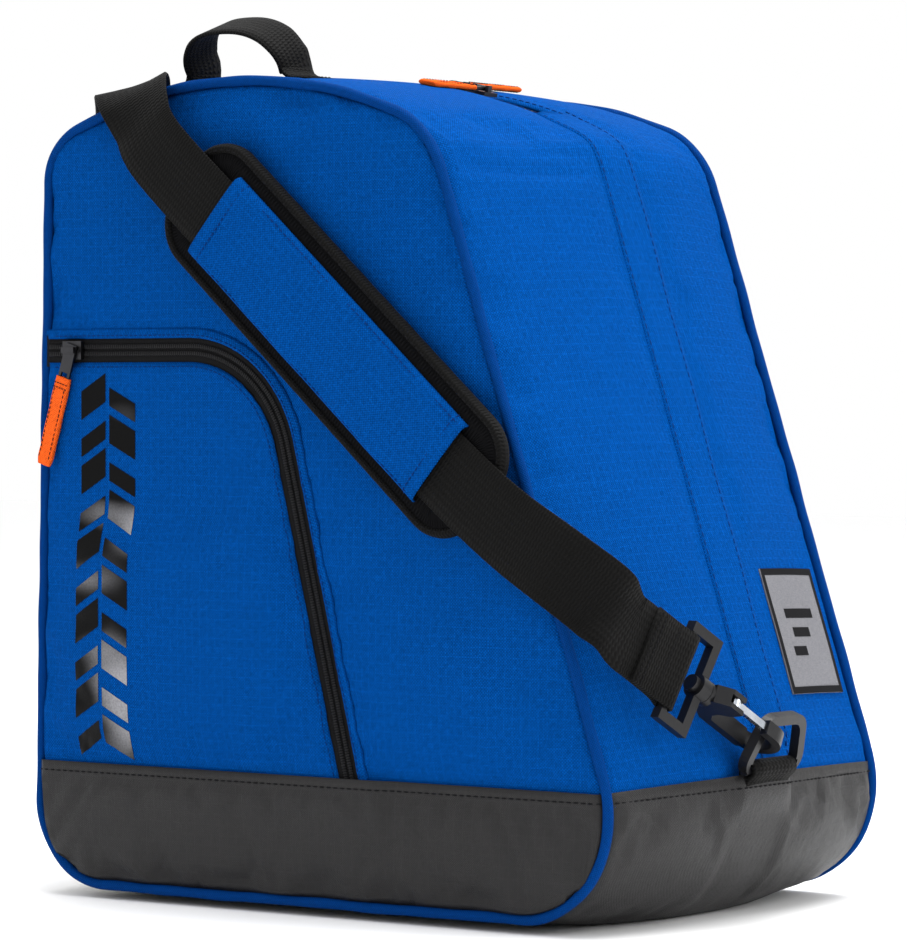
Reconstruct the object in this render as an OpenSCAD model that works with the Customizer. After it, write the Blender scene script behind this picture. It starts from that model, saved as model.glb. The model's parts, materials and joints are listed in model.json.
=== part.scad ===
// Ski boot bag: boot-shaped clamshell bag with a clipped-on padded shoulder strap.
// Millimetres. X towards the toe end, Y towards the rear panel, Z up. Origin under the middle of the base.
// The outline of both flat panels is a chain of lines and arcs.
// Every soft shell grows from that outline.

/* [Bag] */
// Distance between the piping of the front and rear panels
bag_depth = 230; // [220:2:240]
// How far the gusset swells out half-way between the panels
gusset_swell = 11; // [10:0.5:12]
// Share of that swell left on the crown, which is stretched flat
crown_share = 0.3; // [0.25:0.05:0.4]
// Height of the seam between the coated lower band and the upper fabric
seam_z = 65; // [60:1:70]
// Thickness of the padded shell
shell_t = 3; // [2.5:0.5:3.5]
// Radius of the piping cord
piping_r = 2.5; // [2:0.25:3]

/* [Zips] */
// Distance behind the middle of the bag at which the main zip runs
main_zip_y = 17; // [15:1:19]
// Width of the bare slot that the main zip shows in
main_zip_slot = 22; // [20:1:24]
// Width of the pocket zip
pocket_zip_w = 14; // [12:0.5:16]

/* [Strap] */
// Webbing width
webbing_w = 38; // [36:1:39]
// Webbing thickness
webbing_t = 2; // [1.6:0.1:2.2]
// Length of the shoulder pad
pad_len = 236; // [220:2:240]
// Width of the shoulder pad
pad_w = 67; // [60:1:70]
// Length of the fabric sleeve on the pad
sleeve_len = 178; // [160:2:180]

/* [Hardware] */
// Radius of the ring wire
ring_wire_r = 2.5; // [2.2:0.1:2.8]
// Outward lean of both rings at rest
ring_lean = 20; // [18:1:22]
// Thickness of the plastic hook
hook_t = 9; // [8:0.5:10]

/* [Handle] */
// Width of the grab handle webbing
handle_w = 25; // [22:1:26]
// Height of the handle above its sewn feet
handle_rise = 20; // [18:1:24]
// Forward lean of the handle at rest
handle_lean = 30; // [25:1:35]

/* [Hidden] */
$fn = 48;
half_d = bag_depth / 2;
base_lift = 6;
arc_steps = 8;

// Corners of the panel outline, anticlockwise in X and Z:
// heel base, toe base, toe shoulder, crown, heel shoulder
outline_corners = [[-174, base_lift], [187, base_lift], [67, 373], [-48, 414], [-167, 371.5]];
outline_radii = [42, 50, 45, 265, 30];

// Pocket zip: level run from the heel edge, one bend, then down to the seam
pocket_top_z = 269;
pocket_bend_x = -28;
pocket_foot_x = 22;
pocket_bend_r = 60;
pocket_y = -half_d - 1;

// Main zip: the crown arc that its sliders run along

// Strap: straight run across the front
strap_run = [0.751, 0, -0.660];
strap_across = [0.660, 0, 0.751];
pad_centre = [18, -131, 274];

ring_wide = 47;
ring_top = 30;
ring_high = 25;
ring_bar_z = 72;
ring_y = -6;
hook_reach = 45.3;
right_turn = [59.3, 0, -10];
left_turn = [5, 0, 0];

function unit(v) = v / norm(v);

// Arc centre, first angle and turn of corner i of a closed anticlockwise chain
function corner(pts, radii, i) =
    let (m = len(pts))
    let (u = unit(pts[i] - pts[(i + m - 1) % m]))
    let (v = unit(pts[(i + 1) % m] - pts[i]))
    let (turn = (atan2(v[1], v[0]) - atan2(u[1], u[0]) + 360) % 360)
    let (c = pts[i] - u * radii[i] * tan(turn / 2) + [-u[1], u[0]] * radii[i])
    [c, atan2(u[1], u[0]) - 90, turn];

// Share of the swell that shows where the outline faces at angle a:
// all of it at the sides, little on the crown
function share(a) =
    let (t = min(1, max(0, (sin(a) - 0.5) / 0.42)))
    1 - (1 - crown_share) * t * t * (3 - 2 * t);

// Points of corner i, grown outward by d and by its share of the swell
function corner_pts(i, d, swollen = 0) =
    let (k = corner(outline_corners, outline_radii, i))
    [
        for (s = [0:arc_steps])
            let (a = k[1] + k[2] * s / arc_steps)
            k[0] + (outline_radii[i] + d + swollen * share(a)) * [cos(a), sin(a)]
    ];

// Point at height z on the straight toe side (side 1) or heel side (side -1), grown outward by d
function side_pt(side, d, z) =
    let (a = side > 0 ? outline_corners[1] : outline_corners[4])
    let (b = side > 0 ? outline_corners[2] : outline_corners[0])
    let (u = unit(b - a))
    let (p = a + [u[1], -u[0]] * d)
    p + u * (z - p[1]) / u[1];

// Distance from corner i to where its arc meets the straight sides
function corner_reach(i) = outline_radii[i] * tan(corner(outline_corners, outline_radii, i)[2] / 2);

function outline(d) = [for (i = [0:4]) each corner_pts(i, d)];

// The seam crosses the toe corner's arc: arc points from angle a to angle b, and the angle of the seam
toe = corner(outline_corners, outline_radii, 1);
function toe_arc(d, a, b, n) =
    [for (s = [0:n]) let (q = a + (b - a) * s / n) toe[0] + (outline_radii[1] + d) * [cos(q), sin(q)]];
function toe_seam(d) = asin((seam_z - toe[0][1]) / (outline_radii[1] + d));

function upper_path(d, swollen = 0) =
    concat(
        toe_arc(d + swollen, toe_seam(d + swollen), toe[1] + toe[2], 2),
        [for (i = [2:4]) each corner_pts(i, d, swollen)],
        [side_pt(-1, d + swollen, seam_z)]
    );
function heel_path(d, ground) =
    [for (p = concat([side_pt(-1, d, seam_z)], corner_pts(0, d))) [p[0], max(p[1], ground)]];
function toe_path(d, ground) =
    [for (p = toe_arc(d, -90, toe_seam(d), arc_steps)) [p[0], max(p[1], ground)]];

function swell(y) = gusset_swell * (1 - pow(y / half_d, 2));
function steps(a, b, n) = [for (i = [0:n]) a + (b - a) * i / n];
function reversed(v) = [for (i = [len(v) - 1:-1:0]) v[i]];
function total(v, i = 0) = i == len(v) - 1 ? v[i] : v[i] + total(v, i + 1);
function ring_normal(r) = total([for (i = [0:len(r) - 1]) cross(r[i], r[(i + 1) % len(r)])]);

// Solid skinned over a list of equal rings
module loft(rings, closed = false) {
    n = len(rings);
    m = len(rings[0]);
    ahead = total(rings[1]) / m - total(rings[0]) / m;
    turned = ring_normal([for (p = rings[0]) p - rings[0][0]]) * ahead > 0;
    wound = turned ? [for (r = rings) reversed(r)] : rings;
    walls = [
        for (i = [0:n - (closed ? 1 : 2)])
            for (k = [0:m - 1])
                let (a = i * m, b = (i + 1) % n * m, q = (k + 1) % m)
                each [[a + k, b + k, b + q], [a + k, b + q, a + q]]
    ];
    caps = closed ? [] : [[for (k = [0:m - 1]) k], reversed([for (k = [0:m - 1]) (n - 1) * m + k])];
    polyhedron(points = [for (r = wound) each r], faces = concat(walls, caps), convexity = 6);
}

// Curved shell between two depths, following the upper or the lower part of the outline
module upper_shell(y0, y1, top, thick, rows = 8) {
    ys = steps(y0, y1, rows);
    outer = [for (y = ys) upper_path(top, swell(y))];
    inner = [for (y = ys) upper_path(top - thick, swell(y))];
    loft([
        for (j = [0:len(outer[0]) - 1])
            concat(
                [for (i = [0:rows]) [outer[i][j][0], ys[i], outer[i][j][1]]],
                [for (i = [rows:-1:0]) [inner[i][j][0], ys[i], inner[i][j][1]]]
            )
    ]);
}

// Lower shell of the toe side (side 1) or heel side (side -1), flattened where it meets the ground
module lower_shell(side, rows = 12) {
    ys = steps(-half_d + piping_r, half_d - piping_r, rows);
    outer = [for (y = ys) side > 0 ? toe_path(swell(y), 0) : heel_path(swell(y), 0)];
    inner = [
        for (y = ys)
            side > 0 ? toe_path(swell(y) - shell_t, shell_t) : heel_path(swell(y) - shell_t, shell_t)
    ];
    loft([
        for (j = [0:len(outer[0]) - 1])
            concat(
                [for (i = [0:rows]) [outer[i][j][0], ys[i], outer[i][j][1]]],
                [for (i = [rows:-1:0]) [inner[i][j][0], ys[i], inner[i][j][1]]]
            )
    ]);
}

function cord_ring(paths, j, y, r, sides) =
    [for (k = [0:sides - 1]) [paths[k][j][0], y + r * sin(360 * k / sides), paths[k][j][1]]];

// Flat panel in the XZ plane between two depths
module panel(pts, y0, y1) {
    translate([0, y1, 0])
        rotate([90, 0, 0])
            linear_extrude(y1 - y0)
                polygon(pts);
}

module above_seam(pts, y0, y1) {
    intersection() {
        panel(pts, y0, y1);
        translate([-300, y0 - 1, seam_z])
            cube([600, y1 - y0 + 2, 500]);
    }
}

module below_seam(pts, y0, y1) {
    intersection() {
        panel(pts, y0, y1);
        translate([-300, y0 - 1, -10])
            cube([600, y1 - y0 + 2, seam_z + 10]);
    }
}

// ---- Shell that stands still ----

module front_panel() {
    color("#1f4fb0")
        above_seam(outline(-piping_r), -half_d - 1, -half_d - 1 + shell_t);
}

module front_band() {
    color("#54575a")
        below_seam(outline(-piping_r), -half_d - 1, -half_d - 1 + shell_t);
}

module front_piping() {
    sides = 10;
    paths = [for (k = [0:sides - 1]) outline(piping_r * cos(360 * k / sides))];
    color("#2a5cc4")
        loft([for (j = [0:len(paths[0]) - 1]) cord_ring(paths, j, -half_d, piping_r, sides)], closed = true);
}

module gusset_front() {
    color("#1f4fb0")
        upper_shell(-half_d + piping_r, main_zip_y - main_zip_slot / 2, 0, shell_t);
}

module band_heel() {
    color("#54575a")
        lower_shell(-1);
}

module band_toe() {
    color("#54575a")
        lower_shell(1);
}

// Base between the two bottom corners: flat where it stands, rising to the piping at both panels
module base_panel() {
    x0 = outline_corners[0][0] + corner_reach(0);
    x1 = outline_corners[1][0] - corner_reach(1);
    ys = steps(-half_d + piping_r, half_d - piping_r, 12);
    color("#2c2d2f")
        translate([x0, 0, 0])
            rotate([90, 0, 90])
                linear_extrude(x1 - x0)
                    polygon(concat(
                        [for (y = ys) [y, max(base_lift - swell(y), 0)]],
                        [for (y = reversed(ys)) [y, max(base_lift - swell(y) + shell_t, shell_t)]]
                    ));
}

module base_board() {
    color("#303234")
        translate([-128, -74, shell_t])
            cube([244, 148, 2.5]);
}

module back_band() {
    color("#54575a")
        below_seam(outline(-piping_r), half_d + 1 - shell_t, half_d + 1);
}

module back_piping_lower() {
    sides = 10;
    paths = [
        for (k = [0:sides - 1])
            let (d = piping_r * cos(360 * k / sides))
            concat(heel_path(d, 0), toe_path(d, 0))
    ];
    color("#2a5cc4")
        loft([for (j = [0:len(paths[0]) - 1]) cord_ring(paths, j, half_d, piping_r, sides)]);
}

// ---- Pocket ----

// Points of the pocket zip line, moved to its outer side by d
function pocket_line(d, end_z) =
    let (down = unit([pocket_foot_x - pocket_bend_x, seam_z - pocket_top_z]))
    let (turn = -atan2(down[1], down[0]))
    let (c = [pocket_bend_x - pocket_bend_r * tan(turn / 2), pocket_top_z - pocket_bend_r])
    let (r = pocket_bend_r + d)
    let (foot = [pocket_foot_x, seam_z] + [-down[1], down[0]] * d)
    concat(
        [side_pt(-1, -piping_r, pocket_top_z + d)],
        [for (s = [0:16]) let (a = 90 - turn * s / 16) c + r * [cos(a), sin(a)]],
        [foot + down * (end_z - foot[1]) / down[1]]
    );

module pocket_panel() {
    line = pocket_line(-pocket_zip_w / 2, seam_z);
    color("#1f4fb0")
        panel(concat([side_pt(-1, -piping_r, seam_z)], reversed(line)), pocket_y - 1.6, pocket_y);
}

module pocket_zip_tape() {
    color("#15161a")
        panel(
            concat(pocket_line(-pocket_zip_w / 2, seam_z), reversed(pocket_line(pocket_zip_w / 2, seam_z))),
            pocket_y - 0.8, pocket_y
        );
}

module pocket_zip_coil() {
    color("#0d0e10")
        panel(
            concat(pocket_line(-2.5, seam_z), reversed(pocket_line(2.5, seam_z))),
            pocket_y - 2,
            pocket_y - 0.8
        );
}

pocket_slider_x = -148;
pocket_pull_lean = 17;

module pocket_slider() {
    color("#3a3c3f") {
        translate([pocket_slider_x - 6, pocket_y - 4.6, pocket_top_z - 4.5])
            cube([12, 2.3, 9]);
        translate([pocket_slider_x, pocket_y - 4.6, pocket_top_z])
            rotate([90, 0, 0])
                cylinder(h = 3.6, r = 1.2);
        translate([pocket_slider_x - 4, pocket_y - 8.2, pocket_top_z - 1.5])
            cube([8, 1.6, 3]);
    }
}

// Pull frame: origin at the pivot, hanging along -Z, thickness along Y
module pull_link_shape() {
    difference() {
        translate([-3.5, -0.6, -18])
            cube([7, 1.2, 21]);
        rotate([90, 0, 0])
            cylinder(h = 4, r = 1.25, center = true);
        translate([-2, -2, -16.5])
            cube([4, 4, 5]);
    }
}

module pull_tab_shape(long, wide) {
    difference() {
        translate([-wide / 2, -1.6, -17 - long])
            cube([wide, 3.2, long + 3]);
        translate([-8, -0.75, -18.3])
            cube([16, 1.5, 6.4]);
    }
    translate([-1.8, -0.75, -16.3])
        cube([3.6, 1.5, 1.6]);
}

module pocket_pull_place() {
    translate([pocket_slider_x, pocket_y - 5.6, pocket_top_z])
        rotate([0, pocket_pull_lean, 0])
            children();
}

module pocket_pull_link() {
    color("#2b2c2e")
        pocket_pull_place()
            pull_link_shape();
}

module pocket_pull_tab() {
    color("#e0662a")
        pocket_pull_place()
            pull_tab_shape(42, 9);
}

// ---- Main zip ----

module main_zip_tape_front() {
    color("#15161a")
        upper_shell(main_zip_y - 13, main_zip_y - 0.3, -shell_t - 0.2, 1.2, 3);
}

module main_zip_coil_front() {
    color("#0d0e10")
        upper_shell(main_zip_y - 3.2, main_zip_y - 0.3, -shell_t + 2, 2, 1);
}

module main_zip_tape_rear() {
    color("#15161a")
        upper_shell(main_zip_y + 0.3, main_zip_y + 13, -shell_t - 0.2, 1.2, 3);
}

module main_zip_coil_rear() {
    color("#0d0e10")
        upper_shell(main_zip_y + 0.3, main_zip_y + 3.2, -shell_t + 2, 2, 1);
}

// Flap sewn in front of the zip: it hangs over the zip from above the ring up to the crown on one side
flap_foot_z = 80;
flap_w = 28;
flap_lift = 0.4;
flap_t = 1.1;

function flap_line(side, d, swollen) =
    side > 0
        ? concat([side_pt(1, d + swollen, flap_foot_z)], corner_pts(2, d, swollen))
        : concat(corner_pts(4, d, swollen), [side_pt(-1, d + swollen, flap_foot_z)]);

module storm_flap(side) {
    ys = steps(0, flap_w, 6);
    outer = [for (y = ys) flap_line(side, flap_lift + flap_t, swell(y))];
    inner = [for (y = ys) flap_line(side, flap_lift, swell(y))];
    loft([
        for (j = [0:len(outer[0]) - 1])
            concat(
                [for (i = [0:6]) [outer[i][j][0], ys[i], outer[i][j][1]]],
                [for (i = [6:-1:0]) [inner[i][j][0], ys[i], inner[i][j][1]]]
            )
    ]);
}

module storm_flap_right() {
    color("#2354b8")
        storm_flap(1);
}

module storm_flap_left() {
    color("#2354b8")
        storm_flap(-1);
}

// Crown arc frame: turned about the arc centre so that the local Z axis is the outward normal
crown = corner(outline_corners, outline_radii, 3);
crown_c = crown[0];
crown_r = outline_radii[3] + crown_share * swell(main_zip_y);

module on_crown(angle) {
    translate([crown_c[0], main_zip_y, crown_c[1]])
        rotate([0, angle, 0])
            translate([0, 0, crown_r])
                children();
}

pull_pin_z = 3.2;

module slider_shape() {
    translate([-6, -5.5, -0.6])
        cube([12, 11, 2]);
    for (x = [-5, 3])
        translate([x, -1.5, 1.4])
            cube([2, 3, 3.3]);
    translate([0, 0, pull_pin_z])
        rotate([0, 90, 0])
            cylinder(h = 7, r = 0.9, center = true);
}

// Link and tab of a main pull lie along local -Y at rest, pivoting about local X
module main_link_shape() {
    difference() {
        union() {
            rotate([0, 90, 0])
                cylinder(h = 5.4, r = 1.35, center = true);
            translate([-2.7, -15, -0.5])
                cube([5.4, 14.5, 1]);
        }
        rotate([0, 90, 0])
            cylinder(h = 7, r = 0.95, center = true);
        translate([-1.6, -13.5, -2])
            cube([3.2, 4, 4]);
    }
}

module main_tab_shape() {
    difference() {
        translate([-6, -46, -1.4])
            cube([12, 34, 2.8]);
        translate([-8, -15.2, -0.65])
            cube([16, 6, 1.3]);
    }
    translate([-1.4, -13.3, -0.65])
        cube([2.8, 1.2, 1.3]);
}

slider_right_at = 10.5;
slider_left_at = 7.6;

module main_slider_right() {
    color("#3a3c3f")
        on_crown(slider_right_at)
            slider_shape();
}

module main_slider_left() {
    color("#3a3c3f")
        on_crown(slider_left_at)
            slider_shape();
}

module main_pull_link_right() {
    color("#2b2c2e")
        on_crown(slider_right_at)
            translate([0, 0, pull_pin_z])
                main_link_shape();
}

module main_pull_tab_right() {
    color("#e0662a")
        on_crown(slider_right_at)
            translate([0, 0, pull_pin_z])
                main_tab_shape();
}

module main_pull_link_left() {
    color("#2b2c2e")
        on_crown(slider_left_at)
            translate([0, 0, pull_pin_z])
                mirror([0, 1, 0])
                    main_link_shape();
}

module main_pull_tab_left() {
    color("#e0662a")
        on_crown(slider_left_at)
            translate([0, 0, pull_pin_z])
                mirror([0, 1, 0])
                    main_tab_shape();
}

// ---- Rear half, which leans back ----

module gusset_rear() {
    color("#1f4fb0")
        upper_shell(main_zip_y + main_zip_slot / 2, half_d - piping_r, 0, shell_t);
}

module back_panel() {
    color("#1f4fb0")
        above_seam(outline(-piping_r), half_d + 1 - shell_t, half_d + 1);
}

module back_piping_upper() {
    sides = 10;
    paths = [for (k = [0:sides - 1]) upper_path(piping_r * cos(360 * k / sides))];
    color("#2a5cc4")
        loft([for (j = [0:len(paths[0]) - 1]) cord_ring(paths, j, half_d, piping_r, sides)]);
}

label_y = 74;
label_z = 130;
label_half_y = 28;
label_half_z = 30;

module label_patch() {
    color("#9a9c9e")
        loft([
            for (z = steps(label_z - label_half_z, label_z + label_half_z, 4))
                let (ys = steps(label_y - label_half_y, label_y + label_half_y, 6))
                concat(
                    [for (y = ys) let (p = side_pt(1, swell(y) + 1.2, z)) [p[0], y, p[1]]],
                    [for (y = reversed(ys)) let (p = side_pt(1, swell(y) + 0.2, z)) [p[0], y, p[1]]]
                )
        ]);
}

// ---- Grab handle ----

handle_x0 = -92;
handle_x1 = -35;
handle_y = -86;
foot_rise = 7;

// Height of the swollen crown at X and Y
function crown_top(x, y = handle_y) =
    crown_c[1] + sqrt(pow(outline_radii[3] + crown_share * swell(y), 2) - pow(x - crown_c[0], 2));
handle_pivot_z = crown_top(handle_x1) + foot_rise;

// Webbing foot: sewn flat on the crown, then turned up and narrowed to meet the loop
module handle_foot(x, out) {
    flat = [
        for (s = steps(14, 3, 5))
            [
                for (q = [[-1, 2.2], [1, 2.2], [1, 0.2], [-1, 0.2]])
                    let (y = handle_y + q[0] * handle_w / 2)
                    [x + out * s, y, crown_top(x + out * s, y) + q[1]]
            ]
    ];
    rise = [[x + out * 0.4, crown_top(x) + 3.2, 5], [x, handle_pivot_z - 0.9, 0.8]];
    up = [
        for (p = rise)
            [
                for (q = [[-1, 1], [1, 1], [1, -1], [-1, -1]])
                    [p[0] + out * q[1], handle_y + q[0] * p[2], p[1]]
            ]
    ];
    loft(concat(flat, up));
}

module handle_foot_left() {
    color("#1a1b1e")
        handle_foot(handle_x0, -1);
}

module handle_foot_right() {
    color("#1a1b1e")
        handle_foot(handle_x1, 1);
}

// Loop: half a superellipse over the feet, sheared forward by its lean
module top_handle() {
    mid = (handle_x0 + handle_x1) / 2;
    reach = (handle_x1 - handle_x0) / 2;
    n = 20;
    path = [
        for (i = [0:n])
            let (a = 180 - 180 * i / n)
            let (c = cos(a), s = sin(a))
            [mid + reach * sign(c) * pow(abs(c), 0.8), handle_rise * pow(s, 0.85)]
    ];
    color("#1a1b1e")
        loft([
            for (i = [0:n])
                let (t = unit(path[min(i + 1, n)] - path[max(i - 1, 0)]))
                let (u = [-t[1], t[0]])
                let (grow = min(1, path[i][1] / 12))
                let (w = 0.7 + (handle_w / 2 - 0.7) * grow)
                let (tilt = handle_lean * grow)
                let (y = handle_y - path[i][1] * tan(handle_lean))
                let (z = handle_pivot_z + path[i][1])
                [
                    [path[i][0] + u[0], y - w * cos(tilt), z + u[1] - w * sin(tilt) * 0.6],
                    [path[i][0] + u[0], y + w * cos(tilt), z + u[1] + w * sin(tilt) * 0.6],
                    [path[i][0] - u[0], y + w * cos(tilt), z - u[1] + w * sin(tilt) * 0.6],
                    [path[i][0] - u[0], y - w * cos(tilt), z - u[1] - w * sin(tilt) * 0.6]
                ]
        ]);
}

// ---- Rings and their webbing tabs ----

fold_r = ring_wire_r + 0.35 + webbing_t;
ring_bar_right = [toe[0][0] + outline_radii[1] + gusset_swell + fold_r + 0.2, ring_y, ring_bar_z];
ring_bar_left = [side_pt(-1, gusset_swell, seam_z)[0] - fold_r - 0.3, ring_y, ring_bar_z];

// Moulded ring in the YZ plane: round bar at the bottom, flat sides and a narrower rounded top
module wire_ring() {
    pts = [[-ring_wide / 2, 0], [ring_wide / 2, 0], [ring_top / 2, ring_high], [-ring_top / 2, ring_high]];
    radii = [5, 5, 9, 9];
    ks = [for (i = [0:3]) corner(pts, radii, i)];
    rims = [
        for (d = [ring_wire_r, -ring_wire_r])
            [for (i = [0:3]) for (s = [0:6]) let (a = ks[i][1] + ks[i][2] * s / 6)
                ks[i][0] + (radii[i] + d) * [cos(a), sin(a)]]
    ];
    rotate([90, 0, 90])
        linear_extrude(2 * ring_wire_r, center = true)
            difference() {
                polygon(rims[0]);
                polygon(rims[1]);
                translate([-ring_wide / 2 + 3, -4])
                    square([ring_wide - 6, 8]);
            }
    rotate([90, 0, 0])
        cylinder(h = ring_wide - 5, r = ring_wire_r, center = true);
}

module ring_right() {
    color("#2e3033")
        translate(ring_bar_right)
            rotate([0, ring_lean, 0])
                wire_ring();
}

module ring_left() {
    color("#2e3033")
        translate(ring_bar_left)
            rotate([0, -ring_lean, 0])
                wire_ring();
}

// Webbing folded round a bar: sleeve at the origin, both layers sewn together below it and set to one side
module webbing_fold(long, aside, wide) {
    hole_r = ring_wire_r + 0.35;
    difference() {
        union() {
            rotate([90, 0, 0])
                cylinder(h = wide, r = fold_r, center = true);
            translate([aside - webbing_t, -wide / 2, -long])
                cube([2 * webbing_t, wide, long]);
        }
        rotate([90, 0, 0])
            cylinder(h = webbing_w + 2, r = hole_r, center = true);
    }
}

module ring_tab_right() {
    color("#1a1b1e")
        translate(ring_bar_right)
            webbing_fold(15, webbing_t - fold_r, webbing_w - 1.2);
}

module ring_tab_left() {
    color("#1a1b1e")
        translate(ring_bar_left)
            webbing_fold(15, fold_r - webbing_t, webbing_w - 1.2);
}

// ---- Snap hooks ----
// Hook frame: origin on the swivel face, hook pointing along -Z, gate on +X, strap width along Y

loop_bar_z = 18.5;
gate_pin = [9.2, -15];

// Where each hook's swivel sits, worked back from the ring wire that the hook holds
grip_v = 17;
grip_u = -ring_wide / 2 + (ring_wide - ring_top) / 2 * grip_v / ring_high;
function hook_axis(t) = [-sin(t[0]) * sin(t[2]), sin(t[0]) * cos(t[2]), -cos(t[0])];
hook_slack = [-0.3, 0.3, 0.3];
grip_right = ring_bar_right + [grip_v * sin(ring_lean), grip_u, grip_v * cos(ring_lean)] + hook_slack;
grip_left = ring_bar_left + [-ring_high * sin(ring_lean), 0, ring_high * cos(ring_lean)];
swivel_right = grip_right - hook_axis(right_turn) * hook_reach;
swivel_left = grip_left - hook_axis(left_turn) * hook_reach;

module place_right() {
    translate(swivel_right)
        rotate(right_turn)
            children();
}

module place_left() {
    translate(swivel_left)
        rotate(left_turn)
            mirror([1, 0, 0])
                children();
}

module strap_loop_shape() {
    difference() {
        union() {
            translate([-2.5, -25, 0])
                cube([5, 50, 5]);
            translate([0, 0, -1.5])
                cylinder(h = 6.5, r = 6);
        }
        translate([0, 0, -2])
            cylinder(h = 8, r = 2.55);
    }
    for (s = [-1, 1])
        translate([-2.5, s * 22.5 - 2.5, 5])
            cube([5, 5, 16]);
    translate([0, 0, loop_bar_z])
        rotate([90, 0, 0])
            cylinder(h = 41, r = ring_wire_r, center = true);
}

module snap_hook_shape() {
    cylinder(h = 8.2, r = 2.5);
    translate([0, 0, 5.3])
        cylinder(h = 2.9, r = 4);
    translate([0, 0, -4])
        cylinder(h = 4.1, r = 2.5);
    translate([0, 0, -5])
        cylinder(h = 3.2, r = 6);
    difference() {
        translate([0, hook_t / 2, 0])
            rotate([90, 0, 0])
                linear_extrude(hook_t)
                    polygon([
                        [-11.8, -45], [-11.8, -16], [-6, -4], [6, -4],
                        [12, -10], [12, -19], [5, -19], [0, -16],
                        [-4, -16], [-7.5, -20], [-7.5, -45]
                    ]);
        translate([4.5, -2.1, -20])
            cube([8, 4.2, 10.5]);
    }
    translate([gate_pin[0], 0, gate_pin[1]])
        rotate([90, 0, 0])
            cylinder(h = 5, r = 1.2, center = true);
    translate([0, 0, -45])
        rotate([90, 0, 0])
            rotate([0, 0, 180])
                linear_extrude(7, center = true)
                    difference() {
                        circle(11.8);
                        circle(7.5);
                        translate([-13, -26])
                            square([26, 26]);
                    }
    translate([-11.8, -3.5, -45.1])
        cube([4.3, 7, 0.2]);
    translate([7.5, -3.5, -45.1])
        cube([4.3, 7, 7.1]);
}

module gate_shape() {
    difference() {
        translate([gate_pin[0] - 1.25, -1.8, -37.5])
            cube([2.5, 3.6, 25]);
        translate([gate_pin[0], 0, gate_pin[1]])
            rotate([90, 0, 0])
                cylinder(h = 5, r = 1.23, center = true);
    }
    translate([gate_pin[0], 0, gate_pin[1]])
        rotate([90, 0, 0])
            difference() {
                cylinder(h = 3.6, r = 2.4, center = true);
                cylinder(h = 5, r = 1.23, center = true);
            }
}

gate_twist = 8;

module strap_loop_right() {
    color("#202124")
        place_right()
            strap_loop_shape();
}

module snap_hook_right() {
    color("#202124")
        place_right()
            rotate([0, 0, gate_twist])
                snap_hook_shape();
}

module hook_gate_right() {
    color("#c8ccd0")
        place_right()
            rotate([0, 0, gate_twist])
                gate_shape();
}

module strap_loop_left() {
    color("#202124")
        place_left()
            strap_loop_shape();
}

module snap_hook_left() {
    color("#202124")
        place_left()
            snap_hook_shape();
}

module hook_gate_left() {
    color("#c8ccd0")
        place_left()
            gate_shape();
}

// ---- Shoulder strap ----

end_layer_top = 58;

// Sewn end of the strap: fold round the loop's far bar, then a doubled length
module strap_end_shape() {
    translate([0, 0, loop_bar_z])
        mirror([0, 0, 1])
            webbing_fold(end_layer_top - loop_bar_z, 0, webbing_w);
}

module strap_end_right() {
    color("#1a1b1e")
        place_right()
            strap_end_shape();
}

module strap_end_left() {
    color("#1a1b1e")
        place_left()
            strap_end_shape();
}

right_end = swivel_right - hook_axis(right_turn) * end_layer_top;
left_end = swivel_left - hook_axis(left_turn) * end_layer_top;
right_w = [
    -cos(right_turn[0]) * sin(right_turn[2]),
    cos(right_turn[0]) * cos(right_turn[2]),
    sin(right_turn[0])
];
adjuster_top = [-183, -27, 322];
run_top = pad_centre - strap_run * 136;
run_bottom = pad_centre + strap_run * 142;

// Guide points of the strap from the right end to the left end, each with its width direction
strap_guides = [
    [right_end - hook_axis(right_turn) * 2, right_w],
    [[162, -122, 148], [0.25, 0.35, 0.9]],
    [[148, -130, 160], [0.5, 0.1, 0.82]],
    [run_bottom, strap_across],
    [pad_centre, strap_across],
    [run_top, strap_across],
    [[-98, -127, 382], [0.66, 0.1, 0.74]],
    [[-108, -120.5, 393.5], [0.72, 0.4, 0.5]],
    [[-122, -105, 396.8], [0.74, 0.64, 0.2]],
    [[-143, -80, 389.5], [0.62, 0.7, 0.2]],
    [[-166, -59, 378.5], [0.33, 0.9, 0.3]],
    [[-181.5, -43, 355], [0.02, 0.95, 0.3]],
    [adjuster_top, [0, 0.99, 0.1]],
    [left_end - hook_axis(left_turn) * 0.6, [0, 0.996, 0.087]]
];

// Blend weights of one stretch between guides
function spline(p0, p1, p2, p3, t) =
    0.5 * (
        2 * p1 + (p2 - p0) * t
        + (2 * p0 - 5 * p1 + 4 * p2 - p3) * t * t
        + (3 * p1 - p0 - 3 * p2 + p3) * t * t * t
    );
straight_after = [3, 4, 12];

function guide_at(i, t, k) =
    let (g = strap_guides, m = len(g) - 1)
    len(search(i, straight_after)) > 0
        ? g[i][k] + (g[i + 1][k] - g[i][k]) * t
        : spline(
            i == 0 ? 2 * g[0][k] - g[1][k] : g[i - 1][k], g[i][k], g[i + 1][k],
            i + 1 == m ? 2 * g[m][k] - g[m - 1][k] : g[i + 2][k], t
        );

strap_line = concat(
    [for (i = [0:len(strap_guides) - 2]) for (s = [0:3]) [guide_at(i, s / 4, 0), guide_at(i, s / 4, 1)]],
    [strap_guides[len(strap_guides) - 1]]
);

function ribbon_ring(line, i, half_w, half_t) =
    let (m = len(line) - 1)
    let (t = unit(line[min(i + 1, m)][0] - line[max(i - 1, 0)][0]))
    let (w = unit(line[i][1] - t * (line[i][1] * t)))
    let (n = cross(t, w))
    [for (q = [[-1, -1], [1, -1], [1, 1], [-1, 1]]) line[i][0] + w * q[0] * half_w + n * q[1] * half_t];

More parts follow.
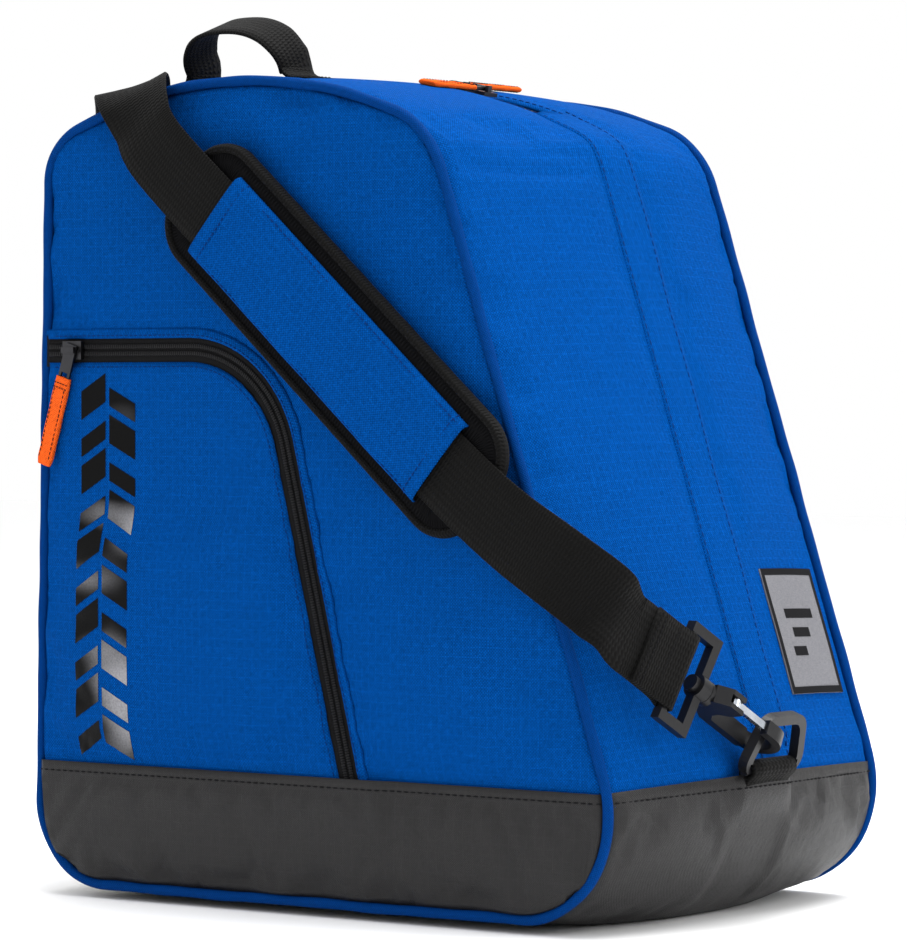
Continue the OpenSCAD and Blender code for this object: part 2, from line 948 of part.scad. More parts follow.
module strap_webbing() {
    color("#1a1b1e")
        loft([for (i = [0:len(strap_line) - 1]) ribbon_ring(strap_line, i, webbing_w / 2, webbing_t / 2)]);
}

// Frame of the straight run: local X down the strap, Z across it, -Y away from the bag
module on_run(at) {
    translate(pad_centre + strap_run * at)
        rotate([0, atan2(-strap_run[2], strap_run[0]), 0])
            children();
}

module pad_outline(grow) {
    r = 24;
    long = pad_len / 2 + grow;
    wide = pad_w / 2 + grow;
    polygon([
        for (q = [[1, 1, 0], [-1, 1, 90], [-1, -1, 180], [1, -1, 270]])
            for (s = [0:6])
                let (a = q[2] + 15 * s)
                [
                    q[0] * (long - r - grow) + (r + grow) * cos(a),
                    q[1] * (wide - r - grow) + (r + grow) * sin(a)
                ]
    ]);
}

module pad_base() {
    color("#17181b")
        on_run(0)
            translate([0, webbing_t / 2 + 9.3, 0])
                rotate([90, 0, 0])
                    linear_extrude(9)
                        pad_outline(-2);
}

module pad_binding() {
    color("#101114")
        on_run(0)
            translate([0, webbing_t / 2 + 9.3, 0])
                rotate([90, 0, 0])
                    linear_extrude(9)
                        difference() {
                            pad_outline(0);
                            pad_outline(-2);
                        }
}

module pad_sleeve() {
    half_in = webbing_w / 2 + 0.8;
    color("#1f4fb0")
        on_run(0)
            translate([-sleeve_len / 2, 0, 0])
                rotate([90, 0, 90])
                    linear_extrude(sleeve_len)
                        difference() {
                            translate([-webbing_t / 2 - 2, -half_in - 3.5])
                                square([webbing_t + 2.3, 2 * half_in + 7]);
                            translate([-webbing_t / 2 - 0.4, -half_in])
                                square([webbing_t + 2, 2 * half_in]);
                        }
}

// Slide adjuster on the hanging run behind the heel shoulder:
// rails beside the strap, bars before and behind it
adjuster_dir = unit(adjuster_top - left_end);
adjuster_at = left_end + adjuster_dir * 45;

module strap_adjuster() {
    half_in = webbing_w / 2 + 0.8;
    color("#202124")
        translate(adjuster_at)
            rotate([-atan2(adjuster_dir[1], adjuster_dir[2]), asin(adjuster_dir[0]), 0]) {
                for (s = [-1, 1])
                    translate([-3, s * (half_in + 2) - 2, -13])
                        cube([6, 4, 26]);
                for (z = [-13, 9])
                    translate([-4.2, -half_in - 4, z])
                        cube([2.7, 2 * half_in + 8, 4]);
                translate([1.5, -half_in - 4, -2])
                    cube([2.2, 2 * half_in + 8, 4]);
            }
}

front_panel();
front_band();
front_piping();
gusset_front();
band_heel();
band_toe();
base_panel();
base_board();
back_band();
back_piping_lower();
pocket_panel();
pocket_zip_tape();
pocket_zip_coil();
main_zip_tape_front();
main_zip_coil_front();
storm_flap_right();
storm_flap_left();
handle_foot_left();
handle_foot_right();
ring_tab_right();
ring_tab_left();
strap_webbing();
strap_end_right();
strap_end_left();
gusset_rear();
back_panel();
back_piping_upper();
main_zip_tape_rear();
main_zip_coil_rear();
label_patch();
main_slider_right();
main_pull_link_right();
main_pull_tab_right();
main_slider_left();
main_pull_link_left();
main_pull_tab_left();
pocket_slider();
pocket_pull_link();
pocket_pull_tab();
top_handle();
ring_right();
ring_left();
strap_loop_right();
snap_hook_right();
hook_gate_right();
strap_loop_left();
snap_hook_left();
hook_gate_left();
strap_adjuster();
pad_base();
pad_binding();
pad_sleeve();
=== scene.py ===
import json
import math

import bpy
import numpy as np
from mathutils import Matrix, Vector
from mathutils.bvhtree import BVHTree


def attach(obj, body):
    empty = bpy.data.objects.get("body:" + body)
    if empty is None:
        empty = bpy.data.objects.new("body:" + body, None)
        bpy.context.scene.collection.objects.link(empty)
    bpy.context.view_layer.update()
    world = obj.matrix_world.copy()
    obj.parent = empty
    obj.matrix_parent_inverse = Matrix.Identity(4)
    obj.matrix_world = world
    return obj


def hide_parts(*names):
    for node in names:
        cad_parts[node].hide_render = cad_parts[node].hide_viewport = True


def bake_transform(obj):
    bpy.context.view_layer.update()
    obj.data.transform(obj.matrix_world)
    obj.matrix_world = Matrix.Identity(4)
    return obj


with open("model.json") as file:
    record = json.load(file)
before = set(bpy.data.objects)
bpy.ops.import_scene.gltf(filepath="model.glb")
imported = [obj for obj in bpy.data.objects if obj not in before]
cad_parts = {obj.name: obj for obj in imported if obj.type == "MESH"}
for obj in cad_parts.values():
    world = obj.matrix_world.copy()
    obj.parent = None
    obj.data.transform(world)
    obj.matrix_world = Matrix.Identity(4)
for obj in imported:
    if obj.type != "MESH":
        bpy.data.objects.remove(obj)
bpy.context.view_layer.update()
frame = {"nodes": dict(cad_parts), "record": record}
NODES = frame["nodes"]

# ---- Shared numbers of the CAD, in millimetres ----

CORNERS = np.array([(-174, 6), (187, 6), (67, 373), (-48, 414), (-167, 371.5)], float)
RADII = (42, 50, 45, 265, 30)
SWELL, HALF_D, SEAM, CORD_R = 11.0, 115.0, 65.0, 2.5
CROWN_SHARE, HANDLE_RISE = 0.3, 20.0
FRONT, BACK, ZIP_Y = -116.0, 116.0, 17.0
MIDDLE = np.array([0, 0, 190.0])
LOW_EDGE, BAND_TOP, STITCH_Z = 60, 66.5, 61.8  # hidden foot of the cloths, band's top edge, its stitches
ZIP_TOP, INSET, HANDLE_Y = 269.0, 1.6, -86.0
STRAP_HALF, TAB_HALF, HANDLE_HALF, BAR_R = 19.0, 18.4, 12.5, 3.85


def unit(v):
    v = np.asarray(v, float)
    return v / np.linalg.norm(v, axis=-1, keepdims=True)


def lengths(P):
    """Distance run along the rows of P."""
    return np.concatenate([[0], np.cumsum(np.linalg.norm(np.diff(P, axis=0), axis=1))])


def swell(y):
    return SWELL * (1 - (np.asarray(y, float) / HALF_D) ** 2)


def smooth(a, b, x):
    t = np.clip((np.asarray(x, float) - a) / (b - a), 0, 1)
    return t * t * (3 - 2 * t)


def share(nz):
    """Share of the swell where the normal points up by nz: all at the sides, little on the crown."""
    return 1 - (1 - CROWN_SHARE) * smooth(0.5, 0.92, nz)


def corner(i):
    u = unit(CORNERS[i] - CORNERS[i - 1])
    v = unit(CORNERS[(i + 1) % 5] - CORNERS[i])
    turn = (math.atan2(v[1], v[0]) - math.atan2(u[1], u[0])) % math.tau
    centre = CORNERS[i] - u * RADII[i] * math.tan(turn / 2) + np.array([-u[1], u[0]]) * RADII[i]
    return centre, math.atan2(u[1], u[0]) - math.pi / 2, turn


def make_chain():
    pts, nrm, first, last = [], [], [], []
    for i in range(5):
        c, a0, turn = corner(i)
        n = max(8, int(turn * RADII[i] / 1.5))
        first.append(len(pts))
        for k in range(n + 1):
            a = a0 + turn * k / n
            nrm.append((math.cos(a), math.sin(a)))
            pts.append(c + RADII[i] * np.array(nrm[-1]))
        last.append(len(pts) - 1)
    pts.append(pts[0])
    nrm.append(nrm[0])
    pts, nrm = np.array(pts), np.array(nrm)
    s = lengths(pts)
    return pts, nrm, s, [(s[a], s[b]) for a, b in zip(first, last)]


CH_P, CH_N, CH_S, ARCS = make_chain()
ROUND = CH_S[-1]


def along(s):
    """Points and outward normals of the panel outline at distances s."""
    s = np.mod(np.asarray(s, float), ROUND)
    p = np.stack([np.interp(s, CH_S, CH_P[:, k]) for k in (0, 1)], -1)
    n = np.stack([np.interp(s, CH_S, CH_N[:, k]) for k in (0, 1)], -1)
    return p, unit(n)


def xyz(x, y, z):
    """Points from three arrays or numbers of any matching shapes."""
    return np.stack(np.broadcast_arrays(x, y, z), -1)


def outward(p, n, off, y):
    """Points p of the outline moved out along its normals n by off, at depth y."""
    return xyz(p[..., 0] + n[..., 0] * off, y, p[..., 1] + n[..., 1] * off)


def s_at(z, side):
    """Distance at which the toe side (1) or the heel side (-1) is at height z."""
    lo, hi = (ARCS[1][0], ARCS[2][0]) if side > 0 else (ARCS[4][1], ROUND)
    s = np.linspace(lo, hi, 4000)
    return float(s[np.argmin(np.abs(along(s)[0][:, 1] - z))])


TOE_SH = sum(ARCS[2]) / 2
HEEL_SH = sum(ARCS[4]) / 2
TOE_BASE = sum(ARCS[1]) / 2
HEEL_BASE = sum(ARCS[0]) / 2

# ---- Meshes ----


def new_object(name, verts, faces):
    me = bpy.data.meshes.new(name)
    me.from_pydata([tuple(v) for v in verts * 0.001], [], [tuple(f) for f in faces])
    me.polygons.foreach_set("use_smooth", [True] * len(me.polygons))
    obj = bpy.data.objects.new(name, me)
    bpy.context.scene.collection.objects.link(obj)
    return obj


def make(name, verts, faces, loops, sealed=False):
    """Mesh object from millimetres, with its flat layout in metres and its faces turned outward."""
    verts = np.asarray(verts, float)
    total = 0.0
    for f in faces[:: max(1, len(faces) // 4000)]:
        q = verts[list(f)]
        n = np.cross(q[1] - q[0], q[2] - q[0])
        ref = verts.mean(axis=0) if sealed else MIDDLE
        total += float(np.dot(n, q.mean(axis=0) - ref))
    if total < 0:
        faces = [f[::-1] for f in faces]
        loops = [u[::-1] for u in loops]
    obj = new_object(name, verts, faces)
    flat = np.array([w for u in loops for w in u], float) * 0.001
    obj.data.uv_layers.new(name="flat").data.foreach_set("uv", flat.ravel())
    obj.data.validate()
    return obj


def grid(name, P, U):
    """Open sheet from a grid of points (a, b, 3) and its flat layout (a, b, 2)."""
    a, b = P.shape[:2]
    idx = np.arange(a * b).reshape(a, b)
    quads = np.stack([idx[:-1, :-1], idx[1:, :-1], idx[1:, 1:], idx[:-1, 1:]], -1).reshape(-1, 4)
    flat = U.reshape(-1, 2)
    faces = [tuple(int(i) for i in q) for q in quads]
    return make(name, P.reshape(-1, 3), faces, [[flat[i] for i in f] for f in faces])


def skin(name, R, wrap=False):
    """Closed solid over rings (n, m, 3), each the same number of points."""
    n, m = R.shape[:2]
    u = lengths(R.mean(axis=1))
    v = np.concatenate([[0], np.cumsum(np.linalg.norm(np.roll(R[n // 2], -1, axis=0) - R[n // 2], axis=1))])
    faces, loops = [], []
    for i in range(n if wrap else n - 1):
        j = (i + 1) % n
        uj = u[i] + 2 if j == 0 else u[j]
        for k in range(m):
            q = (k + 1) % m
            faces.append((i * m + k, j * m + k, j * m + q, i * m + q))
            loops.append([(u[i], v[k]), (uj, v[k]), (uj, v[k + 1]), (u[i], v[k + 1])])
    if not wrap:
        for i in (0, n - 1):
            ring = [i * m + k for k in range(m)]
            faces.append(tuple(ring if i == 0 else ring[::-1]))
            loops.append([(u[i], v[k]) for k in (range(m) if i == 0 else range(m - 1, -1, -1))])
    return make(name, R.reshape(-1, 3), faces, loops, sealed=True)


def tube(name, C, N, B, r):
    """Closed loop of cord with radius r round the line C."""
    a = np.linspace(0, math.tau, 14, endpoint=False)
    r = np.broadcast_to(np.asarray(r, float), (len(C),))[:, None, None]
    R = C[:, None] + r * (N[:, None] * np.cos(a)[None, :, None] + B[:, None] * np.sin(a)[None, :, None])
    return skin(name, R, wrap=True)


def ribbon(name, C, W, half_w, half_t=1.0):
    """Flat band along points C with its width along W."""
    T = unit(np.gradient(C, axis=0))
    W = unit(W - T * np.sum(W * T, axis=1, keepdims=True))
    N = np.cross(T, W)
    hw = np.broadcast_to(np.asarray(half_w, float), (len(C),))[:, None, None]
    k = half_t * 0.55
    prof = [(-1, -0.2, 0), (-1, -1, k), (-0.5, -1, 0), (0, -1, 0), (0.5, -1, 0), (1, -1, -k), (1, -0.2, 0)]
    prof += [(1, 0.2, 0), (1, 1, -k), (0.5, 1, 0), (0, 1, 0), (-0.5, 1, 0), (-1, 1, k), (-1, 0.2, 0)]
    R = np.stack([C + W * (hw[:, 0] * a + c) + N * half_t * b for a, b, c in prof], axis=1)
    return skin(name, R)


def spline(points, per=8):
    """Smooth line through points, which are rows of any width."""
    P = np.asarray(points, float)
    E = np.vstack([2 * P[0] - P[1], P, 2 * P[-1] - P[-2]])
    out = []
    for i in range(len(P) - 1):
        a, b, c, d = E[i : i + 4]
        square, cube = 2 * a - 5 * b + 4 * c - d, 3 * b - a - 3 * c + d
        for t in np.linspace(0, 1, per, endpoint=False):
            out.append(0.5 * (2 * b + (c - a) * t + square * t * t + cube * t**3))
    out.append(P[-1])
    return np.array(out)


def even(P, step):
    """P resampled at equal distances."""
    s = lengths(P[:, :3])
    t = np.linspace(0, s[-1], max(2, int(round(s[-1] / step)) + 1))
    return np.stack([np.interp(t, s, P[:, k]) for k in range(P.shape[1])], -1)


def dashes(name, P, N, pitch=3.4, length=2.3, r=0.38, across=False):
    """Stitches along P, or short ribs across it, half sunk into a surface with normals N."""
    L = even(np.hstack([P, N]), pitch)
    C, N = L[:, :3], unit(L[:, 3:])
    T = unit(np.gradient(C, axis=0))
    B = unit(np.cross(N, T))
    if across:
        T, B = B, T
    verts, faces = [], []
    prof = [(-0.5, 0.35), (-0.3, 1), (0.3, 1), (0.5, 0.35)]
    ang = np.linspace(0, math.tau, 6, endpoint=False)
    for c, t, b, n in zip(C, T, B, N):
        o = len(verts)
        for k, w in prof:
            for a in ang:
                verts.append(c + t * length * k + (b * math.cos(a) + n * math.sin(a)) * r * w)
        for i in range(3):
            for k in range(6):
                q = (k + 1) % 6
                faces.append((o + i * 6 + k, o + i * 6 + q, o + i * 6 + 6 + q, o + i * 6 + 6 + k))
        faces.append(tuple(o + k for k in range(5, -1, -1)))
        faces.append(tuple(o + 18 + k for k in range(6)))
    verts = np.array(verts)
    q = verts[list(faces[0])]
    if np.dot(np.cross(q[1] - q[0], q[2] - q[0]), q.mean(axis=0) - verts[:24].mean(axis=0)) < 0:
        faces = [f[::-1] for f in faces]
    return new_object(name, verts, faces)


def coords(obj):
    """Points of a sheet, in millimetres."""
    co = np.empty(len(obj.data.vertices) * 3)
    obj.data.vertices.foreach_get("co", co)
    return co.reshape(-1, 3) * 1000


def put(obj, co):
    """Moves the points of a sheet to co, in millimetres."""
    obj.data.vertices.foreach_set("co", (np.asarray(co) * 0.001).ravel())
    obj.data.update()


def normals(obj):
    n = np.empty(len(obj.data.vertices) * 3)
    obj.data.vertex_normals.foreach_get("vector", n)
    return n.reshape(-1, 3)


def thick(obj, mm):
    m = obj.modifiers.new("thickness", "SOLIDIFY")
    m.thickness, m.offset, m.use_even_offset = mm * 0.001, -1, False


def settle(obj):
    """Writes the modifiers into the mesh."""
    dg = bpy.context.evaluated_depsgraph_get()
    me = bpy.data.meshes.new_from_object(obj.evaluated_get(dg), depsgraph=dg)
    obj.modifiers.clear()
    obj.data = me


def relax(obj, pinned, push=30.0, grow=0.02, out=4.0, inward=3.0, free=None):
    """Lets the sheet billow and buckle as cloth held at its pinned points, then limits how far it moved."""
    scene, frames = bpy.context.scene, 14
    rest, nrm = coords(obj), normals(obj)
    held = obj.vertex_groups.new(name="held")
    held.add([int(i) for i in np.flatnonzero(pinned)], 1.0, "REPLACE")
    m = obj.modifiers.new("cloth", "CLOTH")
    c = m.settings
    c.quality, c.mass = 5, 0.02
    c.tension_stiffness = c.compression_stiffness = 12
    c.shear_stiffness, c.bending_stiffness = 4, 0.12
    c.tension_damping = c.compression_damping = c.shear_damping = 6
    c.vertex_group_mass = "held"
    c.use_pressure, c.uniform_pressure_force = True, push
    c.shrink_min = -grow
    c.effector_weights.gravity = 0
    m.collision_settings.use_collision = False
    m.point_cache.frame_start, m.point_cache.frame_end = 1, frames
    for f in range(1, frames + 1):
        scene.frame_set(f)
    ev = obj.evaluated_get(bpy.context.evaluated_depsgraph_get())
    move = coords(ev) - rest
    obj.modifiers.clear()
    obj.vertex_groups.clear()
    scene.frame_set(1)
    up = np.sum(move * nrm, axis=1)
    side = move - nrm * up[:, None]
    up = np.where(up > 0, out * np.tanh(up / out), inward * np.tanh(up / inward))
    reach = np.linalg.norm(side, axis=1, keepdims=True) + 1e-9
    side = side / reach * 1.5 * np.tanh(reach / 1.5)
    w = np.ones(len(rest)) if free is None else free
    put(obj, rest + (side + nrm * up[:, None]) * w[:, None])


def creases(obj, lines):
    """Soft ridges and valleys pressed into a sheet: each from a to b, with its height and half width."""
    co, nrm = coords(obj), normals(obj)
    lift = np.zeros(len(co))
    for a, b, height, wide in lines:
        a, b = np.array(a, float), np.array(b, float)
        t = np.clip(np.sum((co - a) * (b - a), axis=1) / np.dot(b - a, b - a), 0, 1)
        d = np.linalg.norm(co - (a + (b - a) * t[:, None]), axis=1)
        lift += height * np.exp(-((d / wide) ** 2)) * (0.35 + 0.65 * np.sin(math.pi * np.clip(t, 0.02, 0.98)))
    put(obj, co + nrm * lift[:, None])


# ---- Materials ----


def material(name):
    mat = bpy.data.materials.new(name)
    mat.use_nodes = True
    return mat, mat.node_tree, mat.node_tree.nodes["Principled BSDF"]


def add(nt, kind, values=None, **props):
    node = nt.nodes.new(kind)
    for key, value in props.items():
        setattr(node, key, value)
    for key, value in (values or {}).items():
        if isinstance(value, bpy.types.NodeSocket):
            nt.links.new(value, node.inputs[key])
        else:
            node.inputs[key].default_value = value
    return node


def math_node(nt, op, a, b=0.0, c=0.0):
    return add(nt, "ShaderNodeMath", {0: a, 1: b, 2: c}, operation=op).outputs[0]


def noise(nt, vector, scale, detail=2.0, rough=0.5):
    values = {"Vector": vector, "Scale": scale, "Detail": detail, "Roughness": rough}
    return add(nt, "ShaderNodeTexNoise", values).outputs["Fac"]


def flat_mm(nt):
    """The sheet's own flat layout, in millimetres."""
    uv = add(nt, "ShaderNodeUVMap", uv_map="flat").outputs[0]
    return add(nt, "ShaderNodeMapping", {"Vector": uv, "Scale": (1000, 1000, 1000)}).outputs[0]


def place_mm(nt):
    co = add(nt, "ShaderNodeTexCoord").outputs["Object"]
    return add(nt, "ShaderNodeMapping", {"Vector": co, "Scale": (1000, 1000, 1000)}).outputs[0]


def stretched(nt, vector, scale):
    return add(nt, "ShaderNodeMapping", {"Vector": vector, "Scale": scale}).outputs[0]


def shade(nt, colour, amount):
    """colour made lighter or darker by amount, a factor round 1."""
    grey = add(nt, "ShaderNodeCombineColor", {0: amount, 1: amount, 2: amount}).outputs[0]
    values = {"Factor": 1.0, 6: (*colour, 1), 7: grey}
    return add(nt, "ShaderNodeMix", values, data_type="RGBA", blend_type="MULTIPLY").outputs[2]


def span(nt, value, lo, hi):
    return add(nt, "ShaderNodeMapRange", {"Value": value, "To Min": lo, "To Max": hi}).outputs[0]


def wire(nt, bsdf, colour, rough, bump, spec):
    """Joins a material's colour, roughness and bump to its shader."""
    nt.links.new(colour, bsdf.inputs["Base Color"])
    nt.links.new(rough, bsdf.inputs["Roughness"])
    nt.links.new(bump.outputs[0], bsdf.inputs["Normal"])
    bsdf.inputs["Specular IOR Level"].default_value = spec


def bumps(nt, height, distance, strength, **below):
    values = {"Height": height, "Distance": distance, "Strength": strength, **below}
    return add(nt, "ShaderNodeBump", values)


def cloth_material(
    name, colour, rough=0.6, spec=0.02, thread=1.15, relief=0.00018, contrast=0.26, ripstop=0, ior=1.2
):
    """Plain weave with slubby threads both ways, light mottling and, where asked, a ripstop grid."""
    mat, nt, bsdf = material(name)
    mm = flat_mm(nt)
    axis = add(nt, "ShaderNodeSeparateXYZ", {0: mm})
    su = math_node(nt, "SINE", math_node(nt, "MULTIPLY", axis.outputs[0], math.tau / thread))
    sv = math_node(nt, "SINE", math_node(nt, "MULTIPLY", axis.outputs[1], math.tau / thread))
    weave = math_node(nt, "MULTIPLY_ADD", math_node(nt, "MULTIPLY", su, sv), 0.5, 0.5)
    warp = noise(nt, stretched(nt, mm, (0.3, 1.5, 1)), 1.0, 2)
    weft = noise(nt, stretched(nt, mm, (1.5, 0.3, 1)), 1.0, 2)
    mottle = noise(nt, mm, 0.05, 4, 0.6)
    slubs = span(nt, warp, 1 - contrast, 1 + contrast), span(nt, weft, -contrast, contrast)
    tone = math_node(nt, "ADD", *slubs)
    tone = math_node(nt, "MULTIPLY", tone, span(nt, mottle, 0.92, 1.08))
    tone = math_node(nt, "MULTIPLY", tone, span(nt, weave, 0.62, 1.38))
    height = math_node(nt, "ADD", weave, math_node(nt, "MULTIPLY", math_node(nt, "ADD", warp, weft), 1.2))
    if ripstop:
        cells = []
        for k in (0, 1):
            f = math_node(nt, "FRACT", math_node(nt, "DIVIDE", axis.outputs[k], ripstop))
            cells.append(math_node(nt, "LESS_THAN", f, 0.16))
        line = math_node(nt, "MAXIMUM", *cells)
        tone = math_node(nt, "MULTIPLY", tone, span(nt, line, 1.0, 1.16))
        height = math_node(nt, "MULTIPLY_ADD", line, 0.8, height)
    soft = noise(nt, place_mm(nt), 0.045, 3, 0.55)
    fold = bumps(nt, soft, 0.0022, 0.55, Normal=bumps(nt, height, relief, 0.9).outputs[0])
    wire(nt, bsdf, shade(nt, colour, tone), span(nt, mottle, rough - 0.08, rough + 0.08), fold, spec)
    bsdf.inputs["Sheen Roughness"].default_value = 0.45
    bsdf.inputs["IOR"].default_value = ior
    return mat


def webbing_material(name, colour, pitch=1.7, relief=0.0003):
    """Ribs across the band, broken into two offset rows of yarns, with fuzzy, uneven tone."""
    mat, nt, bsdf = material(name)
    mm = flat_mm(nt)
    axis = add(nt, "ShaderNodeSeparateXYZ", {0: mm})
    tri = math_node(nt, "PINGPONG", axis.outputs[1], 1.6)
    phase = math_node(nt, "MULTIPLY_ADD", tri, 0.35, axis.outputs[0])
    rib = math_node(nt, "SINE", math_node(nt, "MULTIPLY", phase, math.tau / pitch))
    cord = math_node(nt, "SINE", math_node(nt, "MULTIPLY", axis.outputs[1], math.tau / 3.2))
    height = math_node(nt, "MULTIPLY_ADD", cord, 0.35, math_node(nt, "MULTIPLY", rib, 0.5))
    fuzz = noise(nt, mm, 1.3, 3, 0.6)
    tone = math_node(nt, "MULTIPLY", span(nt, rib, 0.78, 1.3), span(nt, fuzz, 0.6, 1.5))
    wire(nt, bsdf, shade(nt, colour, tone), span(nt, fuzz, 0.55, 0.85), bumps(nt, height, relief, 1.0), 0.07)
    bsdf.inputs["Sheen Weight"].default_value = 0.015
    return mat


def hard_material(name, colour, rough, metallic=0.0, spec=0.22):
    """Moulded plastic or metal with fine grain, uneven polish and faint scuffs."""
    mat, nt, bsdf = material(name)
    mm = place_mm(nt)
    fine, broad = noise(nt, mm, 1.2, 4, 0.6), noise(nt, mm, 0.12, 3, 0.6)
    scuff = noise(nt, stretched(nt, mm, (0.3, 2.2, 0.3)), 0.6, 5, 0.7)
    polish = math_node(nt, "ADD", span(nt, broad, rough - 0.08, rough + 0.08), span(nt, scuff, -0.05, 0.07))
    bump = bumps(nt, fine, 0.00004, 0.8)
    wire(nt, bsdf, shade(nt, colour, span(nt, broad, 0.8, 1.2)), polish, bump, 0.5 if metallic else spec)
    bsdf.inputs["Metallic"].default_value = metallic
    return mat


M = {
    "blue_ripstop": cloth_material(
        "blue_ripstop_cloth", (0.0006, 0.0485, 0.226), thread=1.5, relief=0.00025, contrast=0.42, ripstop=4.5
    ),
    # painted shade: the piping is the same blue cloth as the panels, its base colour darkened to about 0.7 of
    # theirs for the shade along the seams
    "blue_piping": cloth_material("piping_cloth_painted_shade", (0.0008, 0.032, 0.16), 0.55, spec=0.05, thread=1.3),
    "grey_coated": cloth_material(
        "grey_coated_cloth", (0.0128, 0.0123, 0.0127), 0.44, 0.22, 1.1, contrast=0.3, ripstop=5.0, ior=1.5
    ),
    "base_cloth": cloth_material("base_coated_cloth", (0.010, 0.010, 0.011), 0.55, spec=0.15, thread=1.2),
    "black_webbing": webbing_material("black_webbing_weave", (0.003, 0.0029, 0.0028)),
    "zip_tape": webbing_material("zip_tape_weave", (0.005, 0.005, 0.0055), pitch=0.9, relief=0.00015),
    "zip_coil": hard_material("zip_coil_nylon", (0.006, 0.006, 0.007), 0.4, spec=0.2),
    "dark_metal": hard_material("gunmetal", (0.05, 0.05, 0.054), 0.34, metallic=1.0),
    "orange_tape": cloth_material("orange_tape_weave", (0.72, 0.1, 0.014), thread=1.2, relief=0.0002),
    "black_plastic": hard_material("black_moulding", (0.006, 0.006, 0.007), 0.36),
    "bright_steel": hard_material("bright_plated_steel", (0.5, 0.53, 0.58), 0.22, metallic=1.0),
    "pad_black": cloth_material("pad_black_mesh", (0.005, 0.005, 0.0055), 0.75, thread=1.8, relief=0.0004),
    "label_weave": cloth_material("label_grey_weave", (0.165, 0.165, 0.178), 0.65, thread=0.8, contrast=0.16),
    "board": hard_material("board_fibre", (0.03, 0.03, 0.032), 0.7),
}
THREAD_BLACK = hard_material("thread_black", (0.006, 0.006, 0.007), 0.7, spec=0.08)
THREAD_BLUE = hard_material("thread_blue", (0.001, 0.022, 0.12), 0.7, spec=0.05)


def gloss_film_painted_highlights():
    """Black printed film with painted highlights: in broad noise patches its base colour is made many times
    lighter, standing in for reflections of the softbox.
    """
    mat, nt, bsdf = material("gloss_print_film_painted_highlights")
    mm = place_mm(nt)
    patch = noise(nt, stretched(nt, mm, (0.5, 1, 1)), 0.022, 1.5, 0.4)
    edges = {"Value": patch, "From Min": 0.49, "From Max": 0.64}
    painted_highlight = add(nt, "ShaderNodeMapRange", edges, interpolation_type="SMOOTHSTEP").outputs[0]
    grain = noise(nt, mm, 1.1, 2)
    # painted highlights: inside the patches the film's base colour is multiplied by up to about 125
    tone = math_node(nt, "MULTIPLY_ADD", math_node(nt, "MULTIPLY", painted_highlight, span(nt, grain, 0.5, 1.3)), 95.0, 1.0)
    film = shade(nt, (0.003, 0.003, 0.0032), tone)
    wire(nt, bsdf, film, span(nt, grain, 0.12, 0.24), bumps(nt, grain, 0.0001, 0.6), 0.06)
    return mat


GLOSS_PAINTED_HIGHLIGHTS = gloss_film_painted_highlights()
LABEL_INK = hard_material("label_black_weave", (0.006, 0.006, 0.007), 0.7, spec=0.05)
SHELL, REAR = "bag_shell", "rear_half"


def dress(obj, slot, mat=None, body=SHELL, replaces=(), bend=None):
    """Gives a piece its material slot and the body it rides, and hides the nodes it stands for; with bend, it
    is only baked in place and rides no body.
    """
    obj.data.materials.clear()
    obj.data.materials.append(mat or M[slot])
    if bend:
        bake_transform(obj)
    else:
        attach(obj, body)
    if replaces:
        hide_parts(*replaces)
    return obj


REAR_BEND = (SHELL, REAR, (0, 0, 0.066), (0, 0, 0.125))


def sew(name, P, N, size, slot, thread, body=SHELL, bend=None):
    """A row of stitches along P on a surface with normals N; size is their pitch, length and radius."""
    N = np.broadcast_to(np.asarray(N, float), P.shape)
    return dress(dashes(name, P, N, *size), slot, thread, body, bend=bend)


def build(obj, mm, slot, **kind):
    """Thickens a sheet to mm and dresses it."""
    thick(obj, mm)
    settle(obj)
    return dress(obj, slot, **kind)


def finish_cloth(obj, mm, slot, replaces=(), bend=None):
    """Thickens a relaxed sheet to mm and dresses it."""
    build(obj, mm, slot, replaces=replaces, bend=bend)


# ---- Front: panel, band, pocket ----


def coons(bottom, top, left, right):
    """Grid of points filled in between four edge lines."""
    nu, nv = len(bottom), len(left)
    u, v = np.linspace(0, 1, nu)[:, None, None], np.linspace(0, 1, nv)[None, :, None]
    b, t, l, r = bottom[:, None], top[:, None], left[None], right[None]
    both = (1 - u) * (1 - v) * bottom[0] + u * (1 - v) * bottom[-1] + (1 - u) * v * top[0] + u * v * top[-1]
    return (1 - v) * b + v * t + (1 - u) * l + u * r - both


def edge(s0, s1, n, d):
    p, nn = along(np.linspace(s0, s1, n))
    return p + nn * d


def line(a, b, n):
    return np.linspace(np.asarray(a, float), np.asarray(b, float), n)


def border(G):
    """Which points of the grid G are on its rim."""
    b = np.zeros(G.shape[:2], bool)
    b[0] = b[-1] = b[:, 0] = b[:, -1] = True
    return b.ravel()


def face_sheet(name, XZ, y, sunk, sinks=(True, True, True, True)):
    """Sheet on a flat face: XZ grid at depth y, its chosen edges tucked back by sunk."""
    Y = np.full(XZ.shape[:2], float(y))
    side = -1 if y < 0 else 1
    sides = (0, slice(None)), (-1, slice(None)), (slice(None), 0), (slice(None), -1)
    for sink, where in zip(sinks, sides):
        if sink:
            Y[where] = y - side * sunk
    return grid(name, xyz(XZ[..., 0], Y, XZ[..., 1]), XZ)


def panel_grid(low):
    """Panel outline above the height low."""
    left, right = edge(s_at(low, -1), HEEL_SH, 84, -INSET), edge(s_at(low, 1), TOE_SH, 84, -INSET)
    return coons(line(left[0], right[0], 88), edge(HEEL_SH, TOE_SH, 88, -INSET), left, right)


def band_grid(high):
    """Panel outline below the height high."""
    left = edge(HEEL_BASE + ROUND, s_at(high, -1), 20, -INSET)
    right = edge(TOE_BASE, s_at(high, 1), 20, -INSET)
    return coons(edge(HEEL_BASE, TOE_BASE, 88, -INSET), line(left[-1], right[-1], 88), left, right)


